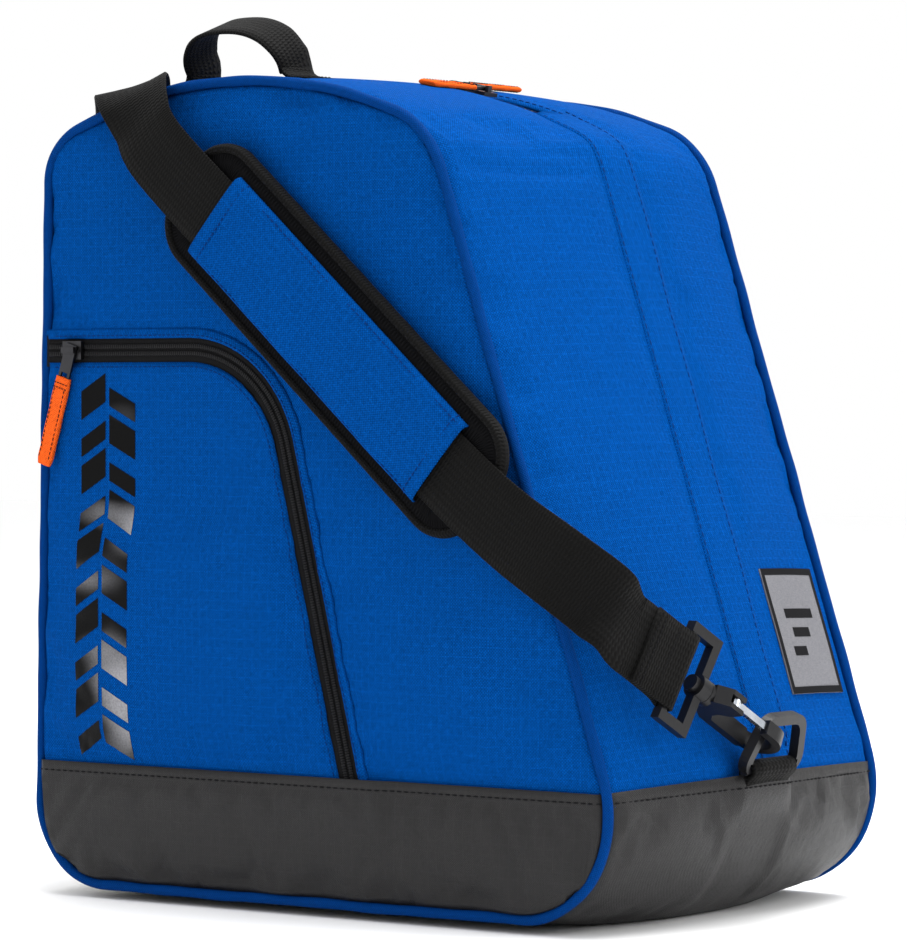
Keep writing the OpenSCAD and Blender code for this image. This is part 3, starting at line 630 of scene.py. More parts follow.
def zip_line(d, end_z):
    """The pocket zip's centre line moved outward by d: level run, bend, then down."""
    bend, foot, r = np.array([-28.0, ZIP_TOP]), np.array([22.0, SEAM]), 60.0
    down = unit(foot - bend)
    turn = -math.atan2(down[1], down[0])
    c = np.array([bend[0] - r * math.tan(turn / 2), ZIP_TOP - r])
    a = np.linspace(math.pi / 2, math.pi / 2 - turn, 40)
    arc = c + (r + d) * np.stack([np.cos(a), np.sin(a)], -1)
    end = foot + np.array([-down[1], down[0]]) * d
    end = end + down * (end_z - end[1]) / down[1]
    p, nn = along(s_at(ZIP_TOP + d, -1))
    start = p - nn * INSET
    return even(np.vstack([[start], arc, [end]]), 2.0)


def zip_gap(x, z):
    L = zip_line(0, LOW_EDGE)
    q = np.stack([x, z], -1).reshape(-1, 1, 2)
    return np.sqrt(((q - L[None]) ** 2).sum(-1)).min(axis=1)


XZ = panel_grid(LOW_EDGE)
panel = face_sheet("front_panel_cloth", XZ, FRONT, 2.2, (True, True, False, True))
co = coords(panel)
gap = zip_gap(co[:, 0], co[:, 2])
held = border(XZ) | (gap < 8) | (co[:, 2] < 70)
near_pad = smooth(75, 40, np.abs((co[:, 0] - 18) * 0.660 + (co[:, 2] - 274) * 0.751))
relax(panel, held, push=5, grow=0.025, out=5.5, inward=5.0, free=1 - 0.45 * near_pad)
creases(panel, [
    ((-128, FRONT, 300), (-70, FRONT, 330), 1.6, 9),
    ((-60, FRONT, 352), (40, FRONT, 366), -1.6, 12),
    ((-30, FRONT, 380), (-8, FRONT, 352), 1.5, 10),
    ((40, FRONT, 200), (140, FRONT, 175), 1.8, 8),
    ((50, FRONT, 215), (135, FRONT, 205), -1.5, 9),
    ((35, FRONT, 110), (120, FRONT, 150), 1.4, 12),
    ((80, FRONT, 300), (100, FRONT, 240), 1.2, 12),
])


def calm(obj, limit):
    """Keep a front sheet behind the sweep of the pocket pull, along its slider's run."""
    c = coords(obj)
    d = np.hypot(c[:, 0] - np.clip(c[:, 0], -148, -88), c[:, 2] - ZIP_TOP)
    w = smooth(105, 66, d)
    c[:, 1] += w * (np.maximum(c[:, 1], limit) - c[:, 1])
    put(obj, c)


calm(panel, FRONT - 1.0)
tree = BVHTree.FromObject(panel, bpy.context.evaluated_depsgraph_get())


def front_y(x, z, tree=tree, default=FRONT):
    """Depth of the front surface, in millimetres, at X and Z."""
    x, z = np.broadcast_arrays(np.asarray(x, float), np.asarray(z, float))
    out = np.full(x.shape, float(default))
    for i in np.ndindex(x.shape):
        hit = tree.ray_cast(Vector((x[i] / 1000, -0.3, z[i] / 1000)), Vector((0, 1, 0)))[0]
        if hit:
            out[i] = hit.y * 1000
    return out


finish_cloth(panel, 1.4, "blue_ripstop", ["front_panel"])

left = edge(s_at(LOW_EDGE, -1), s_at(ZIP_TOP - 6, -1), 60, -INSET)
rim = zip_line(-6.0, LOW_EDGE)
turn_at = int(np.argmax(rim[:, 0] + rim[:, 1]))
top, right = even(rim[: turn_at + 1], 3), even(rim[turn_at:][::-1], 3)


def count(P, n):
    s = np.linspace(0, 1, len(P))
    return np.stack([np.interp(np.linspace(0, 1, n), s, P[:, k]) for k in (0, 1)], -1)


top, right = count(top, 56), count(right, 60)
XZ = coons(line(left[0], right[0], 56), top, left, right)
base_y = front_y(XZ[..., 0], XZ[..., 1])
P = xyz(XZ[..., 0], base_y - 2.3, XZ[..., 1])
P[0, :, 1] = FRONT + 1.6
P[:, -1, 1] = base_y[:, -1] - 1.5
P[-1, :, 1] = base_y[-1, :] - 1.5
pocket = grid("pocket_cloth", P, XZ)
co = coords(pocket)
held = border(XZ) | (co[:, 2] < 70)
relax(pocket, held, push=6, grow=0.02, out=2.4, inward=0.4, free=smooth(-165, -60, co[:, 0]) * 0.75 + 0.25)
creases(pocket, [
    ((-150, FRONT, 240), (-70, FRONT, 215), 1.5, 9),
    ((-120, FRONT, 120), (-20, FRONT, 160), 1.4, 11),
    ((-90, FRONT, 190), (-20, FRONT, 230), 1.2, 10),
])
calm(pocket, FRONT - 2.9)
pocket_tree = BVHTree.FromObject(pocket, bpy.context.evaluated_depsgraph_get())
finish_cloth(pocket, 1.3, "blue_ripstop", ["pocket_panel"])

XZ = band_grid(BAND_TOP)
band = face_sheet("front_band_cloth", XZ, FRONT - 1.7, 3.2, (True, True, True, False))
co = coords(band)
over = smooth(40, 62, co[:, 2]) * (0.3 + 2.3 * smooth(48, 36, co[:, 0]))
co[:, 1] -= over
put(band, co)
relax(band, border(XZ) | (co[:, 2] > 58), push=6, grow=0.03, out=3.0, inward=2.5)
creases(band, [
    ((-120, FRONT, 18), (-60, FRONT, 46), 1.0, 8),
    ((40, FRONT, 20), (95, FRONT, 46), 1.2, 8),
    ((120, FRONT, 46), (150, FRONT, 20), 1.0, 8),
])
band_tree = BVHTree.FromObject(band, bpy.context.evaluated_depsgraph_get())
finish_cloth(band, 1.2, "grey_coated", ["front_band"])

# Zip: tape, two columns of coil ribs, the lip on its outer side and its stitches


def front_strip(name, d0, d1, lift):
    """Strip between two offsets of the zip line, lying lift in front of the panel."""
    A, B = zip_line(d0, LOW_EDGE), zip_line(d1, LOW_EDGE)
    k = min(len(A), len(B))
    A, B = count(A, k), count(B, k)
    t = np.linspace(0, 1, 5)[None, :, None]
    G = A[:, None] * (1 - t) + B[:, None] * t
    y = front_y(G[..., 0], G[..., 1]) - lift
    U = np.stack(np.broadcast_arrays(lengths(A)[:, None], d0 + (d1 - d0) * t[..., 0]), -1)
    return grid(name, xyz(G[..., 0], y, G[..., 1]), U)


tape = front_strip("pocket_zip_tape_cloth", -8, 8, 0.9)
build(tape, 0.5, "zip_tape", replaces=["pocket_zip_tape", "pocket_zip_coil"])
lip = front_strip("pocket_zip_lip", 5.6, 10.5, np.array([2.0, 2.4, 2.2, 1.4, 0.5])[None])
build(lip, 0.8, "blue_ripstop")


def on_front(L, lift, on=tree):
    return xyz(L[:, 0], front_y(L[:, 0], L[:, 1], on) - lift, L[:, 1])


AWAY = np.array([0, -1.0, 0])
for name, side in (("in", -1), ("out", 1)):
    P = on_front(zip_line(1.75 * side, 64), 1.5)
    ribs = dashes(f"pocket_coil_{name}", P, np.tile(AWAY, (len(P), 1)), 1.25, 2.5, 0.5, across=True)
    dress(ribs, "zip_coil")
sew("stitch_lip", on_front(zip_line(7.0, 68)[4:], 2.5), AWAY, (3.0, 2.1, 0.3), "blue_ripstop", THREAD_BLUE)
P = on_front(zip_line(-8.2, 68)[4:], 0.1, pocket_tree)
sew("stitch_pocket", P, AWAY, (3.0, 2.1, 0.3), "blue_ripstop", THREAD_BLUE)

# ---- Gusset, bands and base, grown outward from the outline ----


def shell_sheet(name, s, ys, d):
    """Sheet round the outline: distances s, depths ys, lifted by d(s, y) over the swollen gusset."""
    S, Y = np.meshgrid(s, ys, indexing="ij")
    p, n = along(S)
    P = outward(p, n, swell(Y) * share(n[..., 1]) + d(S, Y, p[..., 1]), Y)
    P[..., 2] = np.maximum(P[..., 2], 0.0)
    return grid(name, P, np.stack([S, Y], -1)), S, Y


def tuck(y, at, depth, width):
    return -depth * np.exp(-(((y - at) / width) ** 2))


s_up = np.linspace(s_at(LOW_EDGE, 1), s_at(LOW_EDGE, -1), 250)
LABEL = (74.0, 130.0)
LABEL_Y, LABEL_Z = 28, 30


def tucked(*edges):
    """Lift of a sheet whose edges, each at a depth and by an amount, are drawn in."""
    return lambda s, y, z: sum(tuck(y, at, depth, width) for at, depth, width in edges)


def above_band(sheet):
    return smooth(68, 80, coords(sheet)[:, 2])


front_ys = np.concatenate([[-113.6], np.linspace(-110, 7, 28)])
gusset, S, Y = shell_sheet("gusset_front_cloth", s_up, front_ys, tucked((-114, 2.2, 3), (8, 1.6, 2.5)))
free = smooth(2, -14, Y).ravel() * above_band(gusset)
relax(gusset, border(S), push=3, grow=0.02, out=1.8, inward=3.0, free=free)
finish_cloth(gusset, 1.6, "blue_ripstop", ["gusset_front"])

rear_ys = np.concatenate([np.linspace(27, 110, 22), [113.6]])
gusset_r, S, Y = shell_sheet("gusset_rear_cloth", s_up, rear_ys, tucked((114, 2.2, 3), (26, 1.6, 2.5)))
lab = np.maximum(np.abs(Y - LABEL[0]) / 36, np.abs(S - s_at(LABEL[1], 1)) / 40)
free = (smooth(30, 44, Y) * smooth(0.9, 1.6, lab)).ravel() * above_band(gusset_r)
relax(gusset_r, border(S), push=3, grow=0.02, out=1.8, inward=3.0, free=free)
finish_cloth(gusset_r, 1.6, "blue_ripstop", ["gusset_rear"], bend=REAR_BEND)


def over_tab(y, z):
    return 4.4 * smooth(27, 19.5, np.abs(y + 6)) * smooth(46, 62, z)


BAND_EDGES = tucked((-114, 2.4, 3), (114, 2.4, 3))


def band_lift(s, y, z):
    return 1.2 * smooth(40, 60, z) + over_tab(y, z) + BAND_EDGES(s, y, z)


band_ys = np.concatenate([[-113.6], np.linspace(-110, 110, 48), [113.6]])
for name, s0, s1, x in (
    ("band_toe", ARCS[1][0] - 2, s_at(BAND_TOP, 1), 186),
    ("band_heel", ARCS[0][1] + 2, s_at(BAND_TOP, -1) - ROUND, -180),
):
    sheet, S, Y = shell_sheet(f"{name}_cloth", np.linspace(s0, s1, 26), band_ys, band_lift)
    z = coords(sheet)[:, 2]
    free = smooth(1, 10, z) * smooth(66, 56, z) * (1 - 0.9 * smooth(27, 20, np.abs(Y.ravel() + 6)))
    relax(sheet, border(S), push=4, grow=0.035, out=2.2, inward=2.8, free=free)
    creases(sheet, [
        ((x, -100, 55), (x, -40, 22), 1.4, 6),
        ((x, 30, 20), (x, 80, 54), 1.4, 6),
        ((x, 55, 16), (x, 100, 40), -1.4, 6),
        ((x, -60, 20), (x, -20, 44), -1.2, 6),
    ])
    co = coords(sheet)
    co[:, 2] = np.maximum(co[:, 2], 0.0)
    put(sheet, co)
    finish_cloth(sheet, 1.0, "grey_coated", [name])

s_base = np.linspace(ARCS[0][1] - 3, ARCS[1][0] + 3, 60)
base, _, _ = shell_sheet("base_cloth", s_base, band_ys, lambda s, y, z: BAND_EDGES(s, y, z) - 0.7)
co = coords(base)
ripple = 0.5 * np.sin(co[:, 0] / 23 + np.sin(co[:, 1] / 31)) * np.cos(co[:, 1] / 19)
co[:, 2] = np.maximum(co[:, 2] + ripple, 0.05)
put(base, co)
finish_cloth(base, 1.5, "base_cloth", ["base_panel"])

# ---- Back ----

XZ = panel_grid(LOW_EDGE)
back = face_sheet("back_panel_cloth", XZ, BACK, 2.2, (True, True, False, True))
held = border(XZ) | (coords(back)[:, 2] < 70)
relax(back, held, push=4, grow=0.02, out=1.2, inward=5.0)
finish_cloth(back, 1.4, "blue_ripstop", ["back_panel"], bend=REAR_BEND)
XZ = band_grid(BAND_TOP)
rear_band = face_sheet("back_band_cloth", XZ, BACK + 1.2, 2.9, (True, True, True, False))
held = border(XZ) | (coords(rear_band)[:, 2] > 58)
relax(rear_band, held, push=4, grow=0.025, out=1.0, inward=2.5)
finish_cloth(rear_band, 1.2, "grey_coated", ["back_band"])

# ---- Piping ----


def piping(name, y, replaces, bend=None):
    s = np.linspace(0, ROUND, 520, endpoint=False)
    p, n = along(s)
    wob = 0.18 * np.sin(s / 17.0) + 0.12 * np.sin(s / 7.3 + 1)
    B = np.tile([0, 1.0, 0], (len(s), 1))
    r = CORD_R + 0.1 * np.sin(s / 5.1)
    obj = tube(name, outward(p, n, wob, y), xyz(n[:, 0], 0, n[:, 1]), B, r)
    return dress(obj, "blue_piping", replaces=replaces, bend=bend)


piping("front_piping_cord", -HALF_D, ["front_piping"])
piping("back_piping_cord", HALF_D, ["back_piping_lower", "back_piping_upper"], REAR_BEND)

# ---- Main zip and its flaps ----


def around(s, y, d):
    """Points and normals of the swollen gusset at distances s and depth y, lifted by d."""
    p, n = along(s)
    return outward(p, n, swell(y) * share(n[:, 1]) + d, y), xyz(n[:, 0], 0, n[:, 1])


s_zip = np.linspace(s_at(64, 1), s_at(64, -1), 240)
for half, y0, y1, y_coil, bend in (("front", 3, 16.8, 15.5, None), ("rear", 17.2, 31, 18.5, REAR_BEND)):
    ys = np.linspace(y0, y1, 6)
    t, _, _ = shell_sheet(f"main_zip_tape_{half}_cloth", s_zip, ys, lambda s, y, z: s * 0 - 3)
    nodes = [f"main_zip_tape_{half}", f"main_zip_coil_{half}"]
    build(t, 0.8, "zip_tape", replaces=nodes, bend=bend)
    P, N = around(s_zip, y_coil, -2.6)
    dress(dashes(f"main_coil_{half}", P, N, 1.5, 2.6, 0.7, across=True), "zip_coil", bend=bend)

FLAP_FLAT = 0.0281
for side, s0, s1 in (("right", s_at(67, 1), ARCS[2][1] + 1), ("left", s_at(67, -1), ARCS[4][0] - 1)):
    ys = np.linspace(0.3, 28.4, 10)

    def lift(s, y, z, s0=s0, s1=s1):
        low = smooth(86, 78, z)
        wave = 0.35 * np.sin(s / 13.0) * smooth(8, 26, y)
        return (0.45 + (1.05 + wave) * smooth(1, 9, y) + 0.5 * smooth(10, 28, y)) * (1 - low) + 0.1 * low

    flap, S, Y = shell_sheet(f"storm_flap_{side}_cloth", np.linspace(s0, s1, 120), ys, lift)
    co = coords(flap)
    left_over = np.abs(S - s1).ravel()
    round_off = 0.3 + 0.7 * np.sqrt(np.clip(1 - (1 - np.clip(left_over / 24, 0, 1)) ** 2, 0, 1))
    co[:, 1] = 0.3 + (co[:, 1] - 0.3) * round_off
    put(flap, co)
    build(flap, 0.9, "blue_ripstop", replaces=[f"storm_flap_{side}"])
    flat = FLAP_FLAT, abs(s1 - s0) * 0.001 + 0.001
    s = np.linspace(s_at(70, 1 if side == "right" else -1), s1, 300)
    for row, y in enumerate((2.2, 25.8)):
        P, N = around(s, y, 0)
        P = P + N * (lift(s, np.full(len(s), y), P[:, 2]) + 0.02)[:, None]
        sew(f"stitch_flap_{side}_{row}", P, N, (4.2, 2.9, 0.36), "blue_ripstop", THREAD_BLUE)

s_top = np.linspace(ARCS[2][1] + 4, ARCS[4][0] - 4, 200)
for k, (y, bend) in enumerate(((3.2, None), (30.8, REAR_BEND))):
    P, N = around(s_top, y, 0.05)
    sew(f"stitch_crown_{k}", P, N, (4.2, 2.9, 0.36), "blue_ripstop", THREAD_BLUE, bend=bend)

# Stitch line under the band's top edge, on all four sides
BAND_STITCH = (4.0, 2.8, 0.4), "grey_coated", THREAD_BLACK
y = np.linspace(-110, 110, 120)
for side, end, face in ((1, "toe", "front"), (-1, "heel", "back")):
    s = np.full(120, s_at(STITCH_Z, side))
    p, n = along(s)
    P = outward(p, n, swell(y) + band_lift(s, y, p[:, 1]), y)
    sew(f"stitch_band_{end}", P, xyz(n[:, 0], 0, n[:, 1]), *BAND_STITCH)
    x0, x1 = (along(s_at(STITCH_Z, k))[0][0] - 4 * k for k in (-1, 1))
    x, z = np.linspace(x0, x1, 200), np.full(200, STITCH_Z)
    depth = front_y(x, z, band_tree, FRONT - 1.75) - 0.05 if side > 0 else BACK + 1.25
    sew(f"stitch_band_{face}", xyz(x, depth, z), (0, -side, 0), *BAND_STITCH)

# ---- Label ----

ys = np.linspace(LABEL[0] - LABEL_Y, LABEL[0] + LABEL_Y, 14)
s_lab = np.linspace(s_at(LABEL[1] - LABEL_Z, 1), s_at(LABEL[1] + LABEL_Z, 1), 14)
def label_wave(up):
    return lambda s, y, z: up + 0.12 * np.sin(s / 9) * np.cos(y / 8)


label, _, _ = shell_sheet("label_cloth", s_lab, ys, label_wave(1.0))
build(label, 0.9, "label_weave", replaces=["label_patch"], bend=REAR_BEND)


def label_patch(name, y0, y1, z0, z1):
    limits = (y0, y1), (s_at(z0, 1), s_at(z1, 1))
    ys, zs = (np.linspace(a, b, max(2, int(abs(b - a) / 4) + 1)) for a, b in limits)
    obj, _, _ = shell_sheet(name, zs, ys, label_wave(1.12))
    return dress(obj, "label_weave", LABEL_INK, bend=REAR_BEND)


y0, y1, z0, z1 = LABEL[0] - LABEL_Y, LABEL[0] + LABEL_Y, LABEL[1] - LABEL_Z, LABEL[1] + LABEL_Z
label_patch("label_edge_low", y0, y1, z0, z0 + 3.2)
label_patch("label_edge_high", y0, y1, z1 - 3.2, z1)
label_patch("label_edge_near", y0, y0 + 3, z0, z1)
label_patch("label_edge_far", y1 - 3, y1, z0, z1)
for k, (a, b) in enumerate(((0, 30), (4, 22), (0, 14))):
    low, left = LABEL[1] + 6 - 9 * k, LABEL[0] - 15
    label_patch(f"label_bar_{k}", left + a, left + b, low, low + 4.5)

# ---- Printed strip on the pocket: plain slanted bars in glossy film with painted highlights ----


def print_bar(name, x0, x1, z0, z1, slant):
    rows = max(5, int(abs(z1 - z0) / 1.5))
    u, v = np.meshgrid(np.linspace(0, 1, 13), np.linspace(0, 1, rows), indexing="ij")
    x = x0 + (x1 - x0) * u
    z = z0 + (z1 - z0) * v + slant * u
    obj = grid(name, xyz(x, front_y(x, z, pocket_tree) - 0.3, z), np.stack([x, z], -1))
    return dress(obj, "blue_ripstop", GLOSS_PAINTED_HIGHLIGHTS)


for k in range(10):
    z0 = 70 + 18.3 * k
    print_bar(f"print_slat_left_{k}", -143, -127.5, z0, z0 + (14 if k % 2 else 9), 9)
    print_bar(f"print_slat_right_{k}", -125, -108.5, z0 + 7, z0 + (16 if k % 2 else 21), -8)

# ---- Strap ----


def rot(deg):
    x, y, z = (math.radians(t) for t in deg)
    X = np.array([[1, 0, 0], [0, math.cos(x), -math.sin(x)], [0, math.sin(x), math.cos(x)]])
    Yr = np.array([[math.cos(y), 0, math.sin(y)], [0, 1, 0], [-math.sin(y), 0, math.cos(y)]])
    Z = np.array([[math.cos(z), -math.sin(z), 0], [math.sin(z), math.cos(z), 0], [0, 0, 1]])
    return Z @ Yr @ X


JOINTS = {j["name"]: j for j in frame["record"]["behaviour"]["joints"]}
SWIVEL_R = np.array(JOINTS["hook_right_swivel"]["pos_m"]) * 1000
SWIVEL_L = np.array(JOINTS["hook_left_swivel"]["pos_m"]) * 1000
TURN_R, TURN_L = rot((59.3, 0, -10)), rot((5, 0, 0)) @ np.diag([-1.0, 1, 1])
RUN, ACROSS = np.array([0.751, 0, -0.660]), np.array([0.660, 0, 0.751])
PAD = np.array([18, -131, 274.0])


def end_fold(turn, at):
    """Tail, turn round the loop's bar and return, as points and width directions."""
    a = np.radians(np.linspace(25, -205, 22))
    ring = np.stack([BAR_R * np.cos(a), 18.5 + BAR_R * np.sin(a)], -1)
    tail = [(2.0, 45), (2.1, 40), (2.1, 36), (2.15, 31), (2.6, 26)]
    back = [(-1.3, 26), (-0.3, 32), (0, 40), (0, 50), (0, 57)]
    path = np.vstack([tail, ring, back])
    W = np.tile([0, 1.0, 0], (len(path), 1))
    return at + xyz(path[:, 0], 0, path[:, 1]) @ turn.T, W @ turn.T


R_P, R_W = end_fold(TURN_R, SWIVEL_R)
L_P, L_W = end_fold(TURN_L, SWIVEL_L)
left_axis = TURN_L @ np.array([0, 0, 1.0])
right_axis = TURN_R @ np.array([0, 0, 1.0])
HANG_TOP, HANG_LOW = np.array([-183, -27, 322.0]), SWIVEL_L + left_axis * 60
body_guides = [
    (SWIVEL_R + right_axis * 64 + np.array([-1, 0, 3.5]), (0.3, 0.42, 0.86)),
    ((166, -121.5, 156), (0.5, 0.35, 0.79)),
    ((150, -131, 170), (0.62, 0.2, 0.76)),
    (PAD + RUN * 134 + ACROSS * 3, (0.64, 0.04, 0.77)),
    (PAD + RUN * 96, ACROSS),
    (PAD + RUN * 60, ACROSS),
    (PAD, ACROSS),
    (PAD - RUN * 70, ACROSS),
    (PAD - RUN * 136, ACROSS),
    ((-98, -127, 382), (0.66, 0.1, 0.74)),
    ((-108, -120.5, 393.5), (0.72, 0.4, 0.5)),
    ((-122, -105, 396.8), (0.74, 0.64, 0.2)),
    ((-143, -80, 389.5), (0.62, 0.7, 0.2)),
    ((-166, -59, 378.5), (0.33, 0.9, 0.3)),
    ((-181.5, -43, 355), (0.02, 0.95, 0.3)),
    (HANG_TOP + unit(HANG_TOP - HANG_LOW) * 12, (0, 0.993, 0.09)),
    (HANG_TOP, (0, 0.993, 0.09)),
    ((HANG_TOP + HANG_LOW) / 2, (0, 0.993, 0.09)),
    (HANG_LOW, (0, 0.996, 0.087)),
]
rows = [np.hstack([p, w]) for p, w in zip(R_P, R_W)]
rows += [np.hstack([np.array(p, float), unit(np.array(w, float))]) for p, w in body_guides]
L_rows = [np.hstack([p, np.sign(np.dot(w, (0, 1, 0))) * w]) for p, w in zip(L_P, L_W)]
rows += L_rows[::-1]
rows = np.array(rows)
rows[: len(R_P), 3:] *= np.sign(np.dot(R_W[0], (0.25, 0.35, 0.9)))
rows[len(R_P), 3:] = rows[0, 3:]
path = even(spline(rows, 6), 2.2)
strap = ribbon("shoulder_strap_webbing", path[:, :3], path[:, 3:], STRAP_HALF)
dress(strap, "black_webbing", replaces=["strap_webbing", "strap_end_right", "strap_end_left"])
for side, turn, at in (("right", TURN_R, SWIVEL_R), ("left", TURN_L, SWIVEL_L)):
    for k, z in enumerate((42.5, 39.5, 29)):
        P = at + xyz(3.15, np.linspace(-17, 17, 14), z) @ turn.T
        sew(f"stitch_strap_{side}_{k}", P, turn[:, 0], (2.6, 1.9, 0.4), "black_webbing", THREAD_BLACK)

# ---- Pad and sleeve ----

PAD_BODY = "shoulder_pad"


def on_run(x, w, out):
    return PAD + np.multiply.outer(x, RUN) + np.multiply.outer(w, ACROSS) + np.multiply.outer(out, AWAY)


def pad_ring(inset):
    pts = []
    long, wide, r = 118.0, 33.5, max(24.0 - inset, 0.8)
    for qx, qz, a0 in ((1, 1, 0), (-1, 1, 90), (-1, -1, 180), (1, -1, 270)):
        for a in np.radians(np.linspace(a0, a0 + 90, 26)):
            pts.append((qx * (long - inset - r) + r * math.cos(a), qz * (wide - inset - r) + r * math.sin(a)))
    return np.array(pts)


PAD_SECTION = (
    (32, -1.2), (24, -1.25), (16, -1.5), (10, -1.9), (6, -2.6), (3.6, -3.6),
    (2.4, -5.4), (3.6, -8.2), (6, -9.4), (12, -10.1), (24, -10.3), (32, -10.3),
)
rings = []
for inset, out in PAD_SECTION:
    q = pad_ring(inset)
    dip = 0.25 * np.sin(q[:, 0] / 14) * (inset < 20)
    rings.append(on_run(q[:, 0], q[:, 1], out + dip - 0.1))
pad = skin("shoulder_pad_base", np.array(rings))
dress(pad, "pad_black", body=PAD_BODY, replaces=["pad_base"])
q = pad_ring(2.6)
q = even(np.vstack([q, q[:1]]), 2.0)[:-1]
T = unit(np.roll(q, -1, axis=0) - np.roll(q, 1, axis=0))
O = np.stack([T[:, 1], -T[:, 0]], -1)
turns = []
for a in np.linspace(0, math.tau, 14, endpoint=False):
    w = q + O * 2.6 * math.cos(a)
    turns.append(on_run(w[:, 0], w[:, 1], np.full(len(q), -5.8 + 4.0 * math.sin(a))))
binding = skin("shoulder_pad_binding", np.stack(turns, axis=1), wrap=True)
dress(binding, "black_webbing", body=PAD_BODY, replaces=["pad_binding"])
w = q - O * 0.6
P = on_run(w[:, 0], w[:, 1], np.full(len(q), -2.1))
sew("stitch_binding", P, AWAY, (4.0, 2.8, 0.4), "pad_black", THREAD_BLACK, PAD_BODY)

half = [(-23.6, -1.15), (-23.2, 0.6), (-21.2, 2.2), (-15, 2.9)]
prof = spline(half + [(0, 3.15)] + [(-w, o) for w, o in reversed(half)], 4)
SLEEVE_HALF = 89
X, K = np.meshgrid(np.linspace(-SLEEVE_HALF, SLEEVE_HALF, 60), np.arange(len(prof)), indexing="ij")
w, o = prof[K][..., 0], prof[K][..., 1]
ripple = 0.3 * np.sin(X / 11 + w / 9) + 0.25 * np.sin(X / 5.3 - w / 6)
o = o + ripple * smooth(-1, 2, o) * smooth(SLEEVE_HALF, 80, np.abs(X))
o = o + 0.35 * smooth(82.5, 83.5, np.abs(X)) * smooth(-1, 2, o)
run_s = lengths(prof)
sleeve = grid("pad_sleeve_cloth", on_run(X, w, o), np.stack([X, run_s[K]], -1))
build(sleeve, 0.7, "blue_ripstop", body=PAD_BODY, replaces=["pad_sleeve"])
flat = float(run_s[-1]) * 0.001, 0.002 * SLEEVE_HALF
for k, x in enumerate((-82, 82)):
    P = on_run(np.full(len(prof), float(x)), prof[:, 0], prof[:, 1] + 0.1)[3:-3]
    sew(f"stitch_sleeve_{k}", P, AWAY, (3.0, 2.2, 0.35), "blue_ripstop", THREAD_BLUE, PAD_BODY)
for k, w0 in enumerate((-21.6, 21.6)):
    P = on_run(np.linspace(-86, 86, 50), np.full(50, w0), np.full(50, 2.05))
    sew(f"stitch_sleeve_side_{k}", P, AWAY, (3.4, 2.4, 0.3), "blue_ripstop", THREAD_BLUE, PAD_BODY)

# ---- Grab handle ----


def crown_top(x):
    c = corner(3)[0]
    return c[1] + math.sqrt((RADII[3] + CROWN_SHARE * float(swell(HANDLE_Y))) ** 2 - (x - c[0]) ** 2)


def foot_rows(*xs):
    return [(x, HANDLE_Y, crown_top(x) + 1.3, 0, 1, 0) for x in xs]


pivot_z = crown_top(-35) + 7
lean = math.radians(30)
pts = foot_rows(-108, -103, -98) + [(-93.4, HANDLE_Y, crown_top(-92) + 3.6, 0, 1, 0)]
for a in np.linspace(math.pi, 0, 21):
    c, h = math.cos(a), HANDLE_RISE * max(math.sin(a), 0) ** 0.85
    x = -63.5 + 28.5 * math.copysign(abs(c) ** 0.8, c)
    tilt = lean * min(1, h / 12)
    pts.append((x, HANDLE_Y - h * math.tan(lean), pivot_z + h, 0, math.cos(tilt), 0.6 * math.sin(tilt)))
pts += [(-33.6, HANDLE_Y, crown_top(-35) + 3.6, 0, 1, 0)] + foot_rows(-29, -24, -19)
path = even(spline(pts, 6), 1.6)
handle = ribbon("grab_handle_webbing", path[:, :3], path[:, 3:], HANDLE_HALF)
low, high = crown_top(-92) + 2, pivot_z + 6
bend = SHELL, "grab_handle", (0, 0, low * 0.001), (0, 0, high * 0.001)
dress(handle, "black_webbing", replaces=["top_handle", "handle_foot_left", "handle_foot_right"], bend=bend)
for k, x in enumerate((-104, -99, -28, -23)):
    P = xyz(float(x), np.linspace(-97, -75, 10), crown_top(x) + 2.35)
    sew(f"stitch_handle_{k}", P, (0, 0, 1), (2.8, 2.0, 0.4), "black_webbing", THREAD_BLACK)

# ---- Ring tabs ----

for side, sx in (("right", 1), ("left", -1)):
    at = np.array(JOINTS[f"ring_{side}_tilt"]["pos_m"]) * 1000
    a = np.radians(np.linspace(180, -40, 22))
    ring = np.stack([BAR_R * np.cos(a), BAR_R * np.sin(a)], -1)
    rise = [(-BAR_R, -13), (-BAR_R, -8), (-BAR_R, -3)]
    fall = [(0.4, -4.6), (-1.3, -7), (-1.75, -10), (-1.8, -13)]
    path = even(spline(np.vstack([rise, ring, fall]), 3), 0.9)
    P = at + xyz(sx * path[:, 0], 0, path[:, 1])
    tab = ribbon(f"ring_tab_{side}_webbing", P, np.tile([0, 1.0, 0], (len(P), 1)), TAB_HALF, 0.95)
    dress(tab, "black_webbing", replaces=[f"ring_tab_{side}"])

# ---- Orange pull tabs ----


